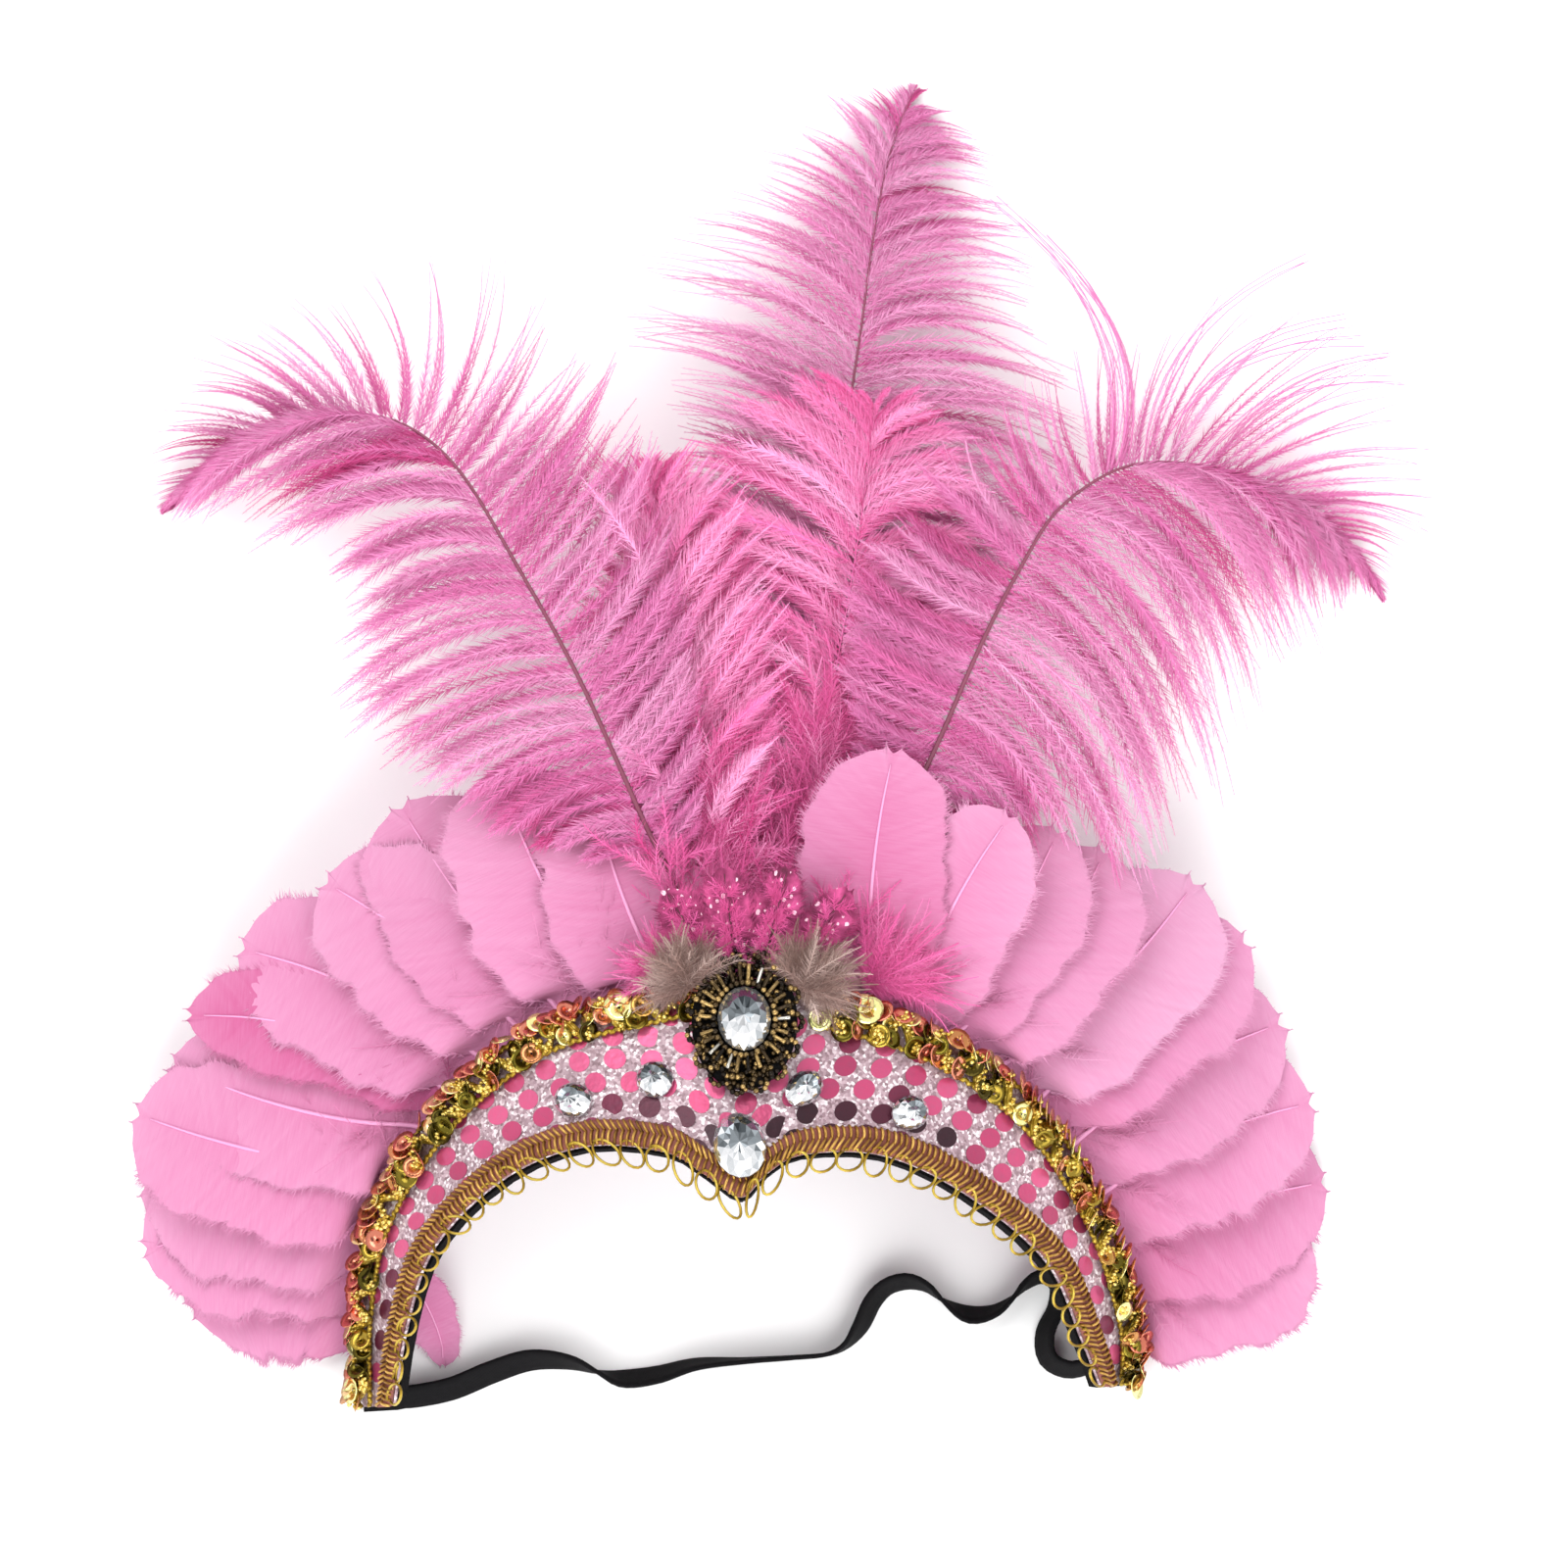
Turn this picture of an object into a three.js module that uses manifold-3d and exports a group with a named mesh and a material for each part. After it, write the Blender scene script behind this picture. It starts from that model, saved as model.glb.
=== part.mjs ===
// Carnival feather headdress: a bent, trimmed band with five ostrich plumes and two fans of flat feathers.
// Millimetres. It lies on its back: +X is the wearer's left, +Y the top when worn, +Z the front.
import * as THREE from 'three';
import { mergeVertices } from 'three/addons/utils/BufferGeometryUtils.js';
import Module from 'manifold-3d';

const wasm = await Module();
wasm.setup();

// Driving dimensions
const GAP = 0.3;
const TRIM_GAP = 0.42;
const BASE_THICK = 2.0;
const COVER_THICK = 0.8;
const COVER_INSET = 0.6;
const TRIM_WIDTH = 8.6;
const TRIM_THICK = 0.9;
const SEQUIN_RADIUS = 3.0;
const SEQUIN_THICK = 0.5;
const SEQUIN_PITCH = 8.4;
const SEQUIN_TILT = 0.32;
const SEQUIN_SIDES = 10;
// Distances of the two rows of sequins from the band's upper edge, and of their middles above the backing
const SEQUIN_ROWS = [6.0, 3.4];
const SEQUIN_LIFT = 0.5;
const BRAID_INSET = 0.9;
const BRAID_WIDTH = 5.5;
const BRAID_THICK = 1.6;
const LOOP_PITCH = 7.8;
const WIRE_RADIUS = 0.42;
const STRAP_WIDTH = 7.0;
const STRAP_THICK = 1.0;
const BLADE_THICK = 0.8;
const QUILL_RADIUS = 1.0;
const QUILL_SEAT = 8;
const QUILL_LEAD = 1;
const STATIONS_PER_ROW = 3;
// How far on either side, in rows of a table, a curve is read for its direction
const LOOK = 0.05;
const TO_RAD = Math.PI / 180;

// Heights above the base's front face at which each layer of the trimming starts
const ON_BASE = GAP;
const ON_COVER = ON_BASE + COVER_THICK + TRIM_GAP;
const ON_BRAID = ON_COVER + BRAID_THICK + GAP;

// The flat feathers' roots lie on the back of the base, this far in from its upper edge, and go straight
// on for a little past the edge
const BEHIND_BASE = -BASE_THICK - GAP - 0.2;
const FEATHER_SEAT = 6;
const FEATHER_LEAD = 3;
const FEATHER_CAMBER = 0.8;
// The plumes' quills lie a little further from the back of the base
const QUILLS_BEHIND = -BASE_THICK - 2.2 * GAP - QUILL_RADIUS;

// Band sections from the wearer's right end to the left end: the lower (inner) and the upper (outer) edge
const BAND_COLUMNS = ['innerX', 'innerY', 'innerZ', 'outerX', 'outerY', 'outerZ'];
const BAND_ROWS = [
  [-87.0, -141.0, 17.0, -95.0, -142.0, 1.0],
  [-83.5, -121.0, 29.0, -95.5, -120.0, 10.0],
  [-77.0, -103.5, 41.0, -91.5, -97.0, 22.0],
  [-61.5, -88.5, 53.5, -77.0, -72.5, 36.0],
  [-44.0, -81.5, 62.5, -54.0, -54.0, 46.5],
  [-26.5, -82.5, 69.0, -26.5, -46.0, 54.5],
  [-17.5, -87.5, 71.0, -16.5, -44.5, 57.5],
  [-9.5, -92.5, 72.0, -8.5, -44.5, 58.5],
  [-3.5, -87.0, 71.5, 1.0, -45.5, 58.0],
  [4.5, -83.0, 69.5, 12.0, -48.0, 55.5],
  [22.0, -83.5, 63.0, 35.0, -56.0, 48.0],
  [40.5, -92.5, 52.5, 57.0, -72.5, 35.5],
  [58.0, -107.5, 38.5, 71.5, -97.0, 21.0],
  [66.0, -125.0, 24.5, 79.0, -122.0, 7.5],
  [70.5, -136.0, 17.0, 77.0, -136.0, 1.0],
];

// Flat goose feathers: the place of the root along the band in rows of its table, the tip, the width,
// how far the blade bows sideways and how far its middle stands above the straight line
const FEATHER_COLUMNS = ['name', 'root', 'tipX', 'tipY', 'tipZ', 'width', 'bow', 'rise'];
const FEATHER_ROWS = [
  ['feather_left_1', 1.15, -134.0, -119.0, 1.8, 25, -6, 1],
  ['feather_left_2', 1.5, -144.5, -105.0, 3.0, 25, -4, 2],
  ['feather_left_3', 1.9, -145.0, -91.0, 6.0, 27, -2, 2.5],
  ['feather_left_4', 2.35, -146.0, -74.5, 10.0, 27, 2, 3],
  ['feather_left_5', 2.75, -138.0, -63.0, 13.0, 25, 3, 2.5],
  ['feather_left_6', 3.1, -134.0, -52.0, 16.5, 24, -5, 2],
  ['feather_left_7', 3.45, -122.0, -37.0, 22.0, 27, -3, 2.5],
  ['feather_left_8', 3.8, -103.0, -22.0, 28.0, 27, -2, 3],
  ['feather_left_9', 4.13, -86.0, -5.0, 32.0, 28, 2, 2],
  ['feather_left_10', 4.5, -64.0, 2.5, 37.5, 28, 2, 2],
  ['feather_left_11', 4.95, -42.0, -3.0, 44.0, 25, 2, 2],
  ['feather_right_1', 12.75, 118.0, -102.0, 1.8, 24, -3, 1],
  ['feather_right_2', 12.35, 122.0, -90.0, 3.5, 26, 2, 2],
  ['feather_right_3', 11.9, 119.0, -72.0, 7.5, 27, 3, 2.5],
  ['feather_right_4', 11.45, 112.0, -54.0, 12.0, 27, 3, 3],
  ['feather_right_5', 11.0, 104.0, -35.5, 17.0, 26, 2, 3],
  ['feather_right_6', 10.6, 92.5, -22.0, 22.0, 25, -3, 3],
  ['feather_right_7', 10.15, 72.0, -15.0, 30.0, 24, -4, 3],
  ['feather_right_8', 9.95, 61.5, -10.5, 39.0, 22, -2, 2],
  ['feather_right_9', 9.7, 50.5, -7.0, 48.5, 22, 2, 1],
  ['feather_right_10', 9.35, 24.5, 7.5, 52.0, 22, 2, 1],
];

// Blade width along a flat feather: share of the length, share of the full width
const BLADE_PROFILE = [
  [0.0, 0.1], [0.14, 0.12], [0.27, 0.36], [0.43, 0.82], [0.62, 1.0], [0.82, 0.92], [0.94, 0.6], [1.0, 0.2],
];

// A blade turns level between these shares of its length
const BLADE_TURN = { start: 0.1, end: 0.32 };

// A small feather that shows inside the arch: the place of its root along the band, its middle line, its width
const INNER_FEATHER = { root: 1.6, width: 11, camber: 0.3 };
const INNER_FEATHER_COLUMNS = ['x', 'y', 'z'];
const INNER_FEATHER_ROWS = [
  [-86.0, -109.0, 13.0], [-80.5, -118.0, 7.5], [-77.5, -126.0, 3.0], [-77.2, -131.5, 1.5],
];

// Ostrich plumes: the place of the bare end along the band, in rows of its table, and then a row for each
// place along the quill: its point, and for the barbs of either side, seen along the quill to its tip,
// their length and the angle in degrees between them and the quill
const PLUME_COLUMNS = ['x', 'y', 'z', 'leftLength', 'leftAngle', 'rightLength', 'rightAngle'];
const PLUMES = {
  plume_left: { root: 5.6, rows: [
    [-24.0, -24.0, 52.0, 1, 70, 1, 70],
    [-31.0, -9.0, 51.0, 20, 66, 14, 62],
    [-46.0, 24.0, 49.5, 46, 70, 34, 62],
    [-59.5, 48.5, 45.5, 47, 68, 42, 60],
    [-73.0, 70.5, 39.0, 46, 68, 40, 62],
    [-86.0, 81.0, 31.0, 43, 54, 34, 80],
    [-100.0, 83.0, 22.0, 34, 36, 28, 84],
    [-115.0, 79.0, 11.5, 22, 30, 21, 76],
    [-129.0, 69.5, 4.2, 11, 28, 12, 66],
    [-138.5, 62.0, 1.3, 2, 30, 2, 60],
  ] },
  plume_front_left: { root: 6.2, rows: [
    [-14.0, -30.0, 45.5, 1, 70, 1, 70],
    [-16.0, -16.0, 44.0, 14, 60, 12, 60],
    [-20.5, 10.0, 43.0, 23, 64, 23, 60],
    [-25.0, 34.0, 41.5, 25, 66, 25, 58],
    [-28.0, 54.0, 39.5, 22, 60, 20, 54],
    [-30.0, 70.0, 37.0, 3, 40, 3, 40],
  ] },
  plume_centre: { root: 6.85, rows: [
    [-8.5, -24.0, 38.0, 1, 70, 1, 70],
    [1.0, 10.0, 29.5, 16, 60, 14, 60],
    [7.5, 45.0, 27.0, 40, 56, 34, 60],
    [12.5, 72.0, 23.0, 49, 60, 42, 60],
    [17.0, 100.0, 16.5, 44, 66, 38, 66],
    [19.8, 121.0, 10.5, 29, 60, 31, 70],
    [22.2, 135.0, 5.8, 22, 48, 22, 56],
    [25.5, 147.5, 2.8, 10, 38, 12, 44],
    [29.5, 157.0, 1.3, 2, 30, 2, 30],
  ] },
  plume_front_right: { root: 7.45, rows: [
    [0.5, -28.0, 41.0, 1, 70, 1, 70],
    [5.0, -10.0, 37.6, 14, 60, 12, 60],
    [11.0, 22.0, 36.5, 30, 64, 26, 60],
    [15.5, 48.0, 34.0, 32, 64, 30, 58],
    [18.5, 68.0, 31.0, 26, 60, 26, 54],
    [20.5, 84.0, 27.5, 3, 40, 3, 40],
  ] },
  plume_right: { root: 8.1, rows: [
    [14.0, -29.0, 47.8, 1, 70, 1, 70],
    [31.0, 2.0, 46.0, 12, 60, 14, 80],
    [44.0, 31.0, 43.5, 28, 58, 42, 96],
    [53.0, 48.5, 39.0, 36, 52, 50, 92],
    [61.5, 61.5, 33.0, 42, 50, 50, 84],
    [74.5, 70.5, 25.5, 42, 56, 48, 62],
    [88.0, 72.5, 18.5, 44, 60, 41, 46],
    [105.5, 69.0, 10.5, 36, 70, 31, 30],
    [121.0, 59.5, 4.6, 24, 76, 18, 24],
    [134.5, 42.5, 1.3, 2, 60, 2, 30],
  ] },
};
const LOCK_ROWS = 24;
const LOCK_VALLEY = 0.8;
const PLUME_HALF_THICK = 1.6;
const BARB_DROOP = 0.05;
const FLOOR_CLEARANCE = 0.5;
const TIP_CLEARANCE = 0.3;
// A plume swells at this share of its barbs' length, more on the line of a lock than in a valley
const SWELL_AT = 0.55;
const SWELL = { lock: 0.8, valley: 0.5, perLength: 0.06 };

// Spotted guinea feathers: the place of the root along the band, on the cover under the brooch, and the tip
const GUINEA_COLUMNS = ['name', 'root', 'tipX', 'tipY', 'tipZ'];
const GUINEA_ROWS = [
  ['guinea_feather_1', 6.21, -26.5, -23.5, 58.6],
  ['guinea_feather_2', 6.77, -13.5, -18.5, 58.9],
  ['guinea_feather_3', 7.34, 1.0, -18.5, 58.9],
  ['guinea_feather_4', 7.92, 14.5, -23.5, 58.6],
];
const GUINEA_WIDTH = 7.0;
const GUINEA_SEAT = 5;
const GUINEA_LEAD = 1;
const GUINEA_CAMBER = 0.2;
const GUINEA_PROFILE = [[0.0, 0.15], [0.3, 0.3], [0.6, 0.9], [0.85, 1.0], [1.0, 0.3]];

// Tufts of down: the root, the middle direction and spread in degrees, the length and the thickness
const TUFT_COLUMNS = ['name', 'x', 'y', 'z', 'heading', 'spread', 'length', 'thick', 'rise', 'colour'];
const TUFT_ROWS = [
  ['marabou_left', -21.3, -44.8, 63.4, 128, 150, 12, 2.6, 0.6, 0x9a8478],
  ['marabou_right', 3.8, -45.2, 63.4, 40, 170, 14, 2.6, 0.6, 0x9a8478],
  ['down_tuft_left', -25.6, -43.0, 56.9, 140, 110, 14, 2.4, 0.5, 0xd4508c],
  ['down_tuft_right', 19.0, -45.0, 52.3, 42, 105, 24, 2.6, 0.5, 0xd4508c],
];
const TUFT_LOCKS = 9;
const TUFT_VALLEY = 0.72;
const TUFT_MIDDLE = 0.4;

// Elastic strap, from the wearer's right end: its middle line and the tilt of its width in degrees, 90 on edge
const STRAP_COLUMNS = ['x', 'y', 'tilt'];
const STRAP_ROWS = [
  [-89.3, -138.4, 48], [-84.0, -138.4, 44], [-75.0, -136.6, 44], [-66.0, -132.9, 45], [-57.2, -130.2, 50],
  [-48.4, -130.7, 66], [-41.8, -133.0, 90], [-36.3, -134.4, 118], [-28.6, -133.5, 118], [-19.8, -131.1, 106],
  [-8.8, -130.3, 94], [2.2, -129.6, 90], [9.6, -128.9, 88], [14.0, -126.8, 80], [17.4, -122.4, 62],
  [20.0, -117.0, 58], [23.3, -113.6, 60], [27.9, -112.4, 62], [32.3, -113.7, 76], [36.3, -117.0, 92],
  [41.8, -119.9, 118], [47.3, -119.2, 108], [51.4, -116.4, 92], [54.6, -113.2, 76], [58.2, -111.3, 66],
  [61.4, -113.3, 70], [61.4, -118.4, 64], [59.0, -124.2, 58], [59.6, -129.8, 56], [64.0, -132.3, 58],
  [69.0, -131.6, 62], [74.3, -130.9, 66],
];
const STRAP_STEPS = 54;
const STRAP_CLEARANCE = 0.2;

// Stones on the band: the place in rows of the band's table, the share across it, and the radii
const STONE_COLUMNS = ['name', 'along', 'across', 'radiusAlong', 'radiusAcross', 'lift', 'height'];
const STONE_ROWS = [
  ['stone_left_outer', 4.07, 0.36, 4.4, 4.4, ON_COVER, 3.2],
  ['stone_left_inner', 4.9, 0.44, 4.4, 4.4, ON_COVER, 3.2],
  ['stone_right_inner', 8.7, 0.42, 4.4, 4.4, ON_COVER, 3.2],
  ['stone_right_outer', 10.02, 0.36, 4.4, 4.4, ON_COVER, 3.2],
  ['peak_stone', 6.94, 0.225, 6.0, 7.4, ON_BRAID + 0.8, 4.6],
];
const STONE_SIDES = 12;
// Shares of a stone's height and radius: the top of its girdle, and its table
const STONE_GIRDLE = 0.3;
const STONE_TABLE = 0.56;

// Brooch over the middle of the band
const BROOCH = {
  along: 7.0, across: 0.8, radiusX: 13.4, radiusY: 17.2, lobes: 15, lobeDepth: 1.3, thick: 1.8,
  lift: ON_COVER + BLADE_THICK + 2 * GAP + 0.8, stoneX: 6.0, stoneY: 7.4, stoneHeight: 4.8,
  collarWall: 1.2, collarHeight: 2.0, collarSink: 0.2, collarSides: 20, pointsPerLobe: 4,
};

const named = (columns, row) => Object.fromEntries(columns.map((key, i) => [key, row[i]]));
const vec = (x, y, z) => new THREE.Vector3(x, y, z);
const UP = vec(0, 0, 1);

const COLOURS = {
  base: { color: 0x1c1a1c, roughness: 0.85, metalness: 0 },
  cover: { color: 0xd7c3d2, roughness: 0.5, metalness: 0.2 },
  gold: { color: 0xbea03c, roughness: 0.3, metalness: 0.8 },
  bronze: { color: 0x4b3e28, roughness: 0.4, metalness: 0.7 },
  stone: { color: 0xd8dce0, roughness: 0.05, metalness: 0.3 },
  plume: { color: 0xe87db4, roughness: 0.9, metalness: 0 },
  flat: { color: 0xec9acb, roughness: 0.8, metalness: 0 },
  guinea: { color: 0xa03c6c, roughness: 0.8, metalness: 0 },
};

// A smooth curve through the numbers of one column, read at a place counted in rows
function readColumn(rows, column, place) {
  const last = rows.length - 1;
  const row = Math.min(Math.max(Math.floor(place), 0), last - 1);
  const at = (i) => rows[Math.min(Math.max(i, 0), last)][column];
  const t = place - row;
  const [p0, p1, p2, p3] = [at(row - 1), at(row), at(row + 1), at(row + 2)];
  const slope1 = (p2 - p0) / 2;
  const slope2 = (p3 - p1) / 2;
  const t2 = t * t;
  const t3 = t2 * t;
  return (2 * t3 - 3 * t2 + 1) * p1 + (t3 - 2 * t2 + t) * slope1 + (3 * t2 - 2 * t3) * p2 + (t3 - t2) * slope2;
}

function readRow(rows, columns, place) {
  return Object.fromEntries(columns.map((key, i) => [key, readColumn(rows, i, place)]));
}

// A closed geometry from points and triangles, turned so that its faces point out
function closedGeometry(points, triangles) {
  let volume = 0;
  for (const [a, b, c] of triangles) {
    volume += points[a].dot(vec(0, 0, 0).crossVectors(points[b], points[c]));
  }
  const turned = volume < 0 ? triangles.map(([a, b, c]) => [a, c, b]) : triangles;
  const numbers = points.flatMap((p) => [p.x, p.y, p.z]);
  const geometry = new THREE.BufferGeometry();
  geometry.setAttribute('position', new THREE.Float32BufferAttribute(numbers, 3));
  geometry.setIndex(turned.flat());
  geometry.computeVertexNormals();
  return geometry;
}

// Joins rings with the same number of points into a body, with a flat end on the first and the last;
// the sides in otherWay are split along their other diagonal
function loft(rings, otherWay = []) {
  const count = rings[0].length;
  const triangles = [];
  for (let r = 0; r < rings.length - 1; r++) {
    for (let k = 0; k < count; k++) {
      const a = r * count + k;
      const b = r * count + ((k + 1) % count);
      if (otherWay.includes(k)) {
        triangles.push([a, b, b + count], [a, b + count, a + count]);
      } else {
        triangles.push([a, b, a + count], [b, b + count, a + count]);
      }
    }
  }
  const end = (rings.length - 1) * count;
  for (let k = 1; k < count - 1; k++) {
    triangles.push([0, k + 1, k], [end, end + k, end + k + 1]);
  }
  return closedGeometry(rings.flat(), triangles);
}

function toSolid(geometry) {
  const bare = geometry.clone();
  bare.deleteAttribute('normal');
  bare.deleteAttribute('uv');
  const merged = mergeVertices(bare, 1e-4);
  return new wasm.Manifold(new wasm.Mesh({
    numProp: 3,
    vertProperties: new Float32Array(merged.attributes.position.array),
    triVerts: new Uint32Array(merged.index.array),
  }));
}

function toGeometry(solid) {
  const mesh = solid.getMesh();
  const geometry = new THREE.BufferGeometry();
  geometry.setAttribute('position', new THREE.BufferAttribute(new Float32Array(mesh.vertProperties), 3));
  geometry.setIndex(new THREE.BufferAttribute(new Uint32Array(mesh.triVerts), 1));
  geometry.computeVertexNormals();
  return geometry;
}

function fuse(geometries) {
  return toGeometry(geometries.map(toSolid).reduce((whole, next) => whole.add(next)));
}

const headdress = new THREE.Group();

function addPiece(name, geometry, material) {
  const mesh = new THREE.Mesh(geometry, new THREE.MeshStandardMaterial(material));
  mesh.name = name;
  headdress.add(mesh);
}

// The band as a surface: the place along is counted in rows of its table, and across goes from the lower
// edge, 0, to the upper edge, 1
function bandEdges(along) {
  const section = readRow(BAND_ROWS, BAND_COLUMNS, along);
  return {
    inner: vec(section.innerX, section.innerY, section.innerZ),
    outer: vec(section.outerX, section.outerY, section.outerZ),
  };
}

function bandFrame(along, across) {
  const step = 0.02;
  const last = BAND_ROWS.length - 1;
  const before = bandEdges(Math.max(along - step, 0));
  const after = bandEdges(Math.min(along + step, last));
  const here = bandEdges(along);
  const point = here.inner.clone().lerp(here.outer, across);
  const onward = after.inner.lerp(after.outer, across).sub(before.inner.lerp(before.outer, across)).normalize();
  const width = here.outer.distanceTo(here.inner);
  const upward = here.outer.clone().sub(here.inner).normalize();
  const front = vec(0, 0, 0).crossVectors(onward, upward).normalize();
  return { point, onward, upward, front, width };
}

// A point of a section, in mm from its lower edge and above the front face; a section has one front direction
function bandPoint(along, fromInner, lift) {
  const { front, width } = bandFrame(along, 0.5);
  const { inner, outer } = bandEdges(along);
  return inner.lerp(outer, fromInner / width).addScaledVector(front, lift);
}

// A strip that follows the band, its edges given in mm from the lower edge by two functions of the width
function bandStrip(start, end, lowEdge, highEdge, lift, thick) {
  const stations = [start];
  for (let i = Math.floor(start * STATIONS_PER_ROW) + 1; i < end * STATIONS_PER_ROW; i++) {
    stations.push(i / STATIONS_PER_ROW);
  }
  stations.push(end);
  const rings = [];
  for (const along of stations) {
    const { width } = bandFrame(along, 0.5);
    const low = lowEdge(width);
    const high = highEdge(width);
    rings.push([
      bandPoint(along, low, lift),
      bandPoint(along, high, lift),
      bandPoint(along, high, lift + thick),
      bandPoint(along, low, lift + thick),
    ]);
  }
  return loft(rings, [2]);
}

const LAST_ROW = BAND_ROWS.length - 1;
// What is fixed on the base stops short of its ends, and the sequin trim on either side of the brooch;
// these places are counted in rows of the table
const TRIM_END = 0.1;
const TRIM_STOPS = { left: 5.9, right: 8.6 };
const SEQUINS_ACROSS = 0.8;

// Walks along the band in equal steps of length and calls back with each place
function walkBand(start, end, across, pitch, visit) {
  const fine = 0.01;
  let walked = pitch / 2;
  let previous = bandFrame(start, across).point;
  let count = 0;
  for (let along = start + fine; along <= end; along += fine) {
    const { point } = bandFrame(along, across);
    walked += point.distanceTo(previous);
    previous = point;
    if (walked >= pitch) {
      walked -= pitch;
      visit(along, count);
      count += 1;
    }
  }
}

function makeBase() {
  addPiece('band_base', bandStrip(0, LAST_ROW, () => 0, (w) => w, -BASE_THICK, BASE_THICK), COLOURS.base);
}

function makeCover() {
  const strip = bandStrip(TRIM_END, LAST_ROW - TRIM_END, () => COVER_INSET, (w) => w - COVER_INSET,
    ON_BASE, COVER_THICK);
  addPiece('band_cover', strip, COLOURS.cover);
}

function sequin(along, fromOuter, count) {
  const { width } = bandFrame(along, 0.5);
  const frame = bandFrame(along, 1 - fromOuter / width);
  const lean = count % 2 ? SEQUIN_TILT : -SEQUIN_TILT;
  const axis = frame.front.clone().addScaledVector(frame.onward, lean).addScaledVector(frame.upward, lean / 2);
  const disc = new THREE.CylinderGeometry(SEQUIN_RADIUS, SEQUIN_RADIUS, SEQUIN_THICK, SEQUIN_SIDES);
  disc.applyQuaternion(new THREE.Quaternion().setFromUnitVectors(vec(0, 1, 0), axis.normalize()));
  const centre = frame.point.addScaledVector(frame.front, ON_COVER + TRIM_THICK + SEQUIN_LIFT);
  disc.translate(centre.x, centre.y, centre.z);
  return disc;
}

function makeTrim(name, start, end) {
  const parts = [bandStrip(start, end, (w) => w - TRIM_WIDTH, (w) => w - COVER_INSET, ON_COVER, TRIM_THICK)];
  walkBand(start + TRIM_END, end - TRIM_END, SEQUINS_ACROSS, SEQUIN_PITCH, (along, count) => {
    parts.push(sequin(along, SEQUIN_ROWS[count % 2], count));
  });
  addPiece(name, fuse(parts), COLOURS.gold);
}

// One wire loop below the lower edge, its points in mm along the band and across it
const LOOP_OUTLINE = [[-1.5, 1.5], [-2.7, -1.4], [-1.4, -4.8], [1.4, -4.8], [2.7, -1.4], [1.5, 1.5]];
const WIRE_SIDES = 5;

function wireLoop(along) {
  const frame = bandFrame(along, 0);
  const centre = frame.point.clone().addScaledVector(frame.front, ON_COVER + BRAID_THICK / 2);
  const path = LOOP_OUTLINE.map(([x, y]) =>
    centre.clone().addScaledVector(frame.onward, x).addScaledVector(frame.upward, y));
  const rings = path.map((point, i) => {
    const before = path[Math.max(i - 1, 0)];
    const after = path[Math.min(i + 1, path.length - 1)];
    const tangent = after.clone().sub(before).normalize();
    const side = vec(0, 0, 0).crossVectors(tangent, frame.front).normalize();
    return Array.from({ length: WIRE_SIDES }, (_, k) => {
      const turn = (2 * Math.PI * k) / WIRE_SIDES;
      return point.clone()
        .addScaledVector(side, WIRE_RADIUS * Math.cos(turn))
        .addScaledVector(frame.front, WIRE_RADIUS * Math.sin(turn));
    });
  });
  return loft(rings);
}

function makeBraid() {
  const parts = [bandStrip(TRIM_END, LAST_ROW - TRIM_END, () => BRAID_INSET, () => BRAID_INSET + BRAID_WIDTH,
    ON_COVER, BRAID_THICK)];
  walkBand(2 * TRIM_END, LAST_ROW - 2 * TRIM_END, 0, LOOP_PITCH, (along) => parts.push(wireLoop(along)));
  addPiece('gimp_braid', fuse(parts), COLOURS.gold);
}

// A foil-backed stone: flat back, upright girdle, a ring of facets from it and a table
function stoneGeometry(frame, lift, radiusAlong, radiusAcross, height) {
  const centre = frame.point.clone().addScaledVector(frame.front, lift);
  const ring = (share, rise, turn) => Array.from({ length: STONE_SIDES }, (_, k) => {
    const angle = (2 * Math.PI * (k + turn)) / STONE_SIDES;
    return centre.clone()
      .addScaledVector(frame.onward, radiusAlong * share * Math.cos(angle))
      .addScaledVector(frame.upward, radiusAcross * share * Math.sin(angle))
      .addScaledVector(frame.front, rise);
  });
  return loft([ring(1, 0, 0), ring(1, height * STONE_GIRDLE, 0), ring(STONE_TABLE, height, 0.5)]);
}

function makeStones() {
  for (const row of STONE_ROWS) {
    const stone = named(STONE_COLUMNS, row);
    const frame = bandFrame(stone.along, stone.across);
    addPiece(stone.name,
      stoneGeometry(frame, stone.lift, stone.radiusAlong, stone.radiusAcross, stone.height), COLOURS.stone);
  }
}

// An oval round the brooch's stone, this far from it
function ovalPath(away) {
  return Array.from({ length: BROOCH.collarSides }, (_, k) => {
    const angle = (2 * Math.PI * k) / BROOCH.collarSides;
    return new THREE.Vector2(
      (BROOCH.stoneX + away) * Math.cos(angle), (BROOCH.stoneY + away) * Math.sin(angle));
  });
}

function placeOnFrame(geometry, frame, lift) {
  const origin = frame.point.clone().addScaledVector(frame.front, lift);
  const sideways = vec(0, 0, 0).crossVectors(frame.upward, frame.front);
  const matrix = new THREE.Matrix4().makeBasis(sideways, frame.upward, frame.front).setPosition(origin);
  return geometry.applyMatrix4(matrix);
}

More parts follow.
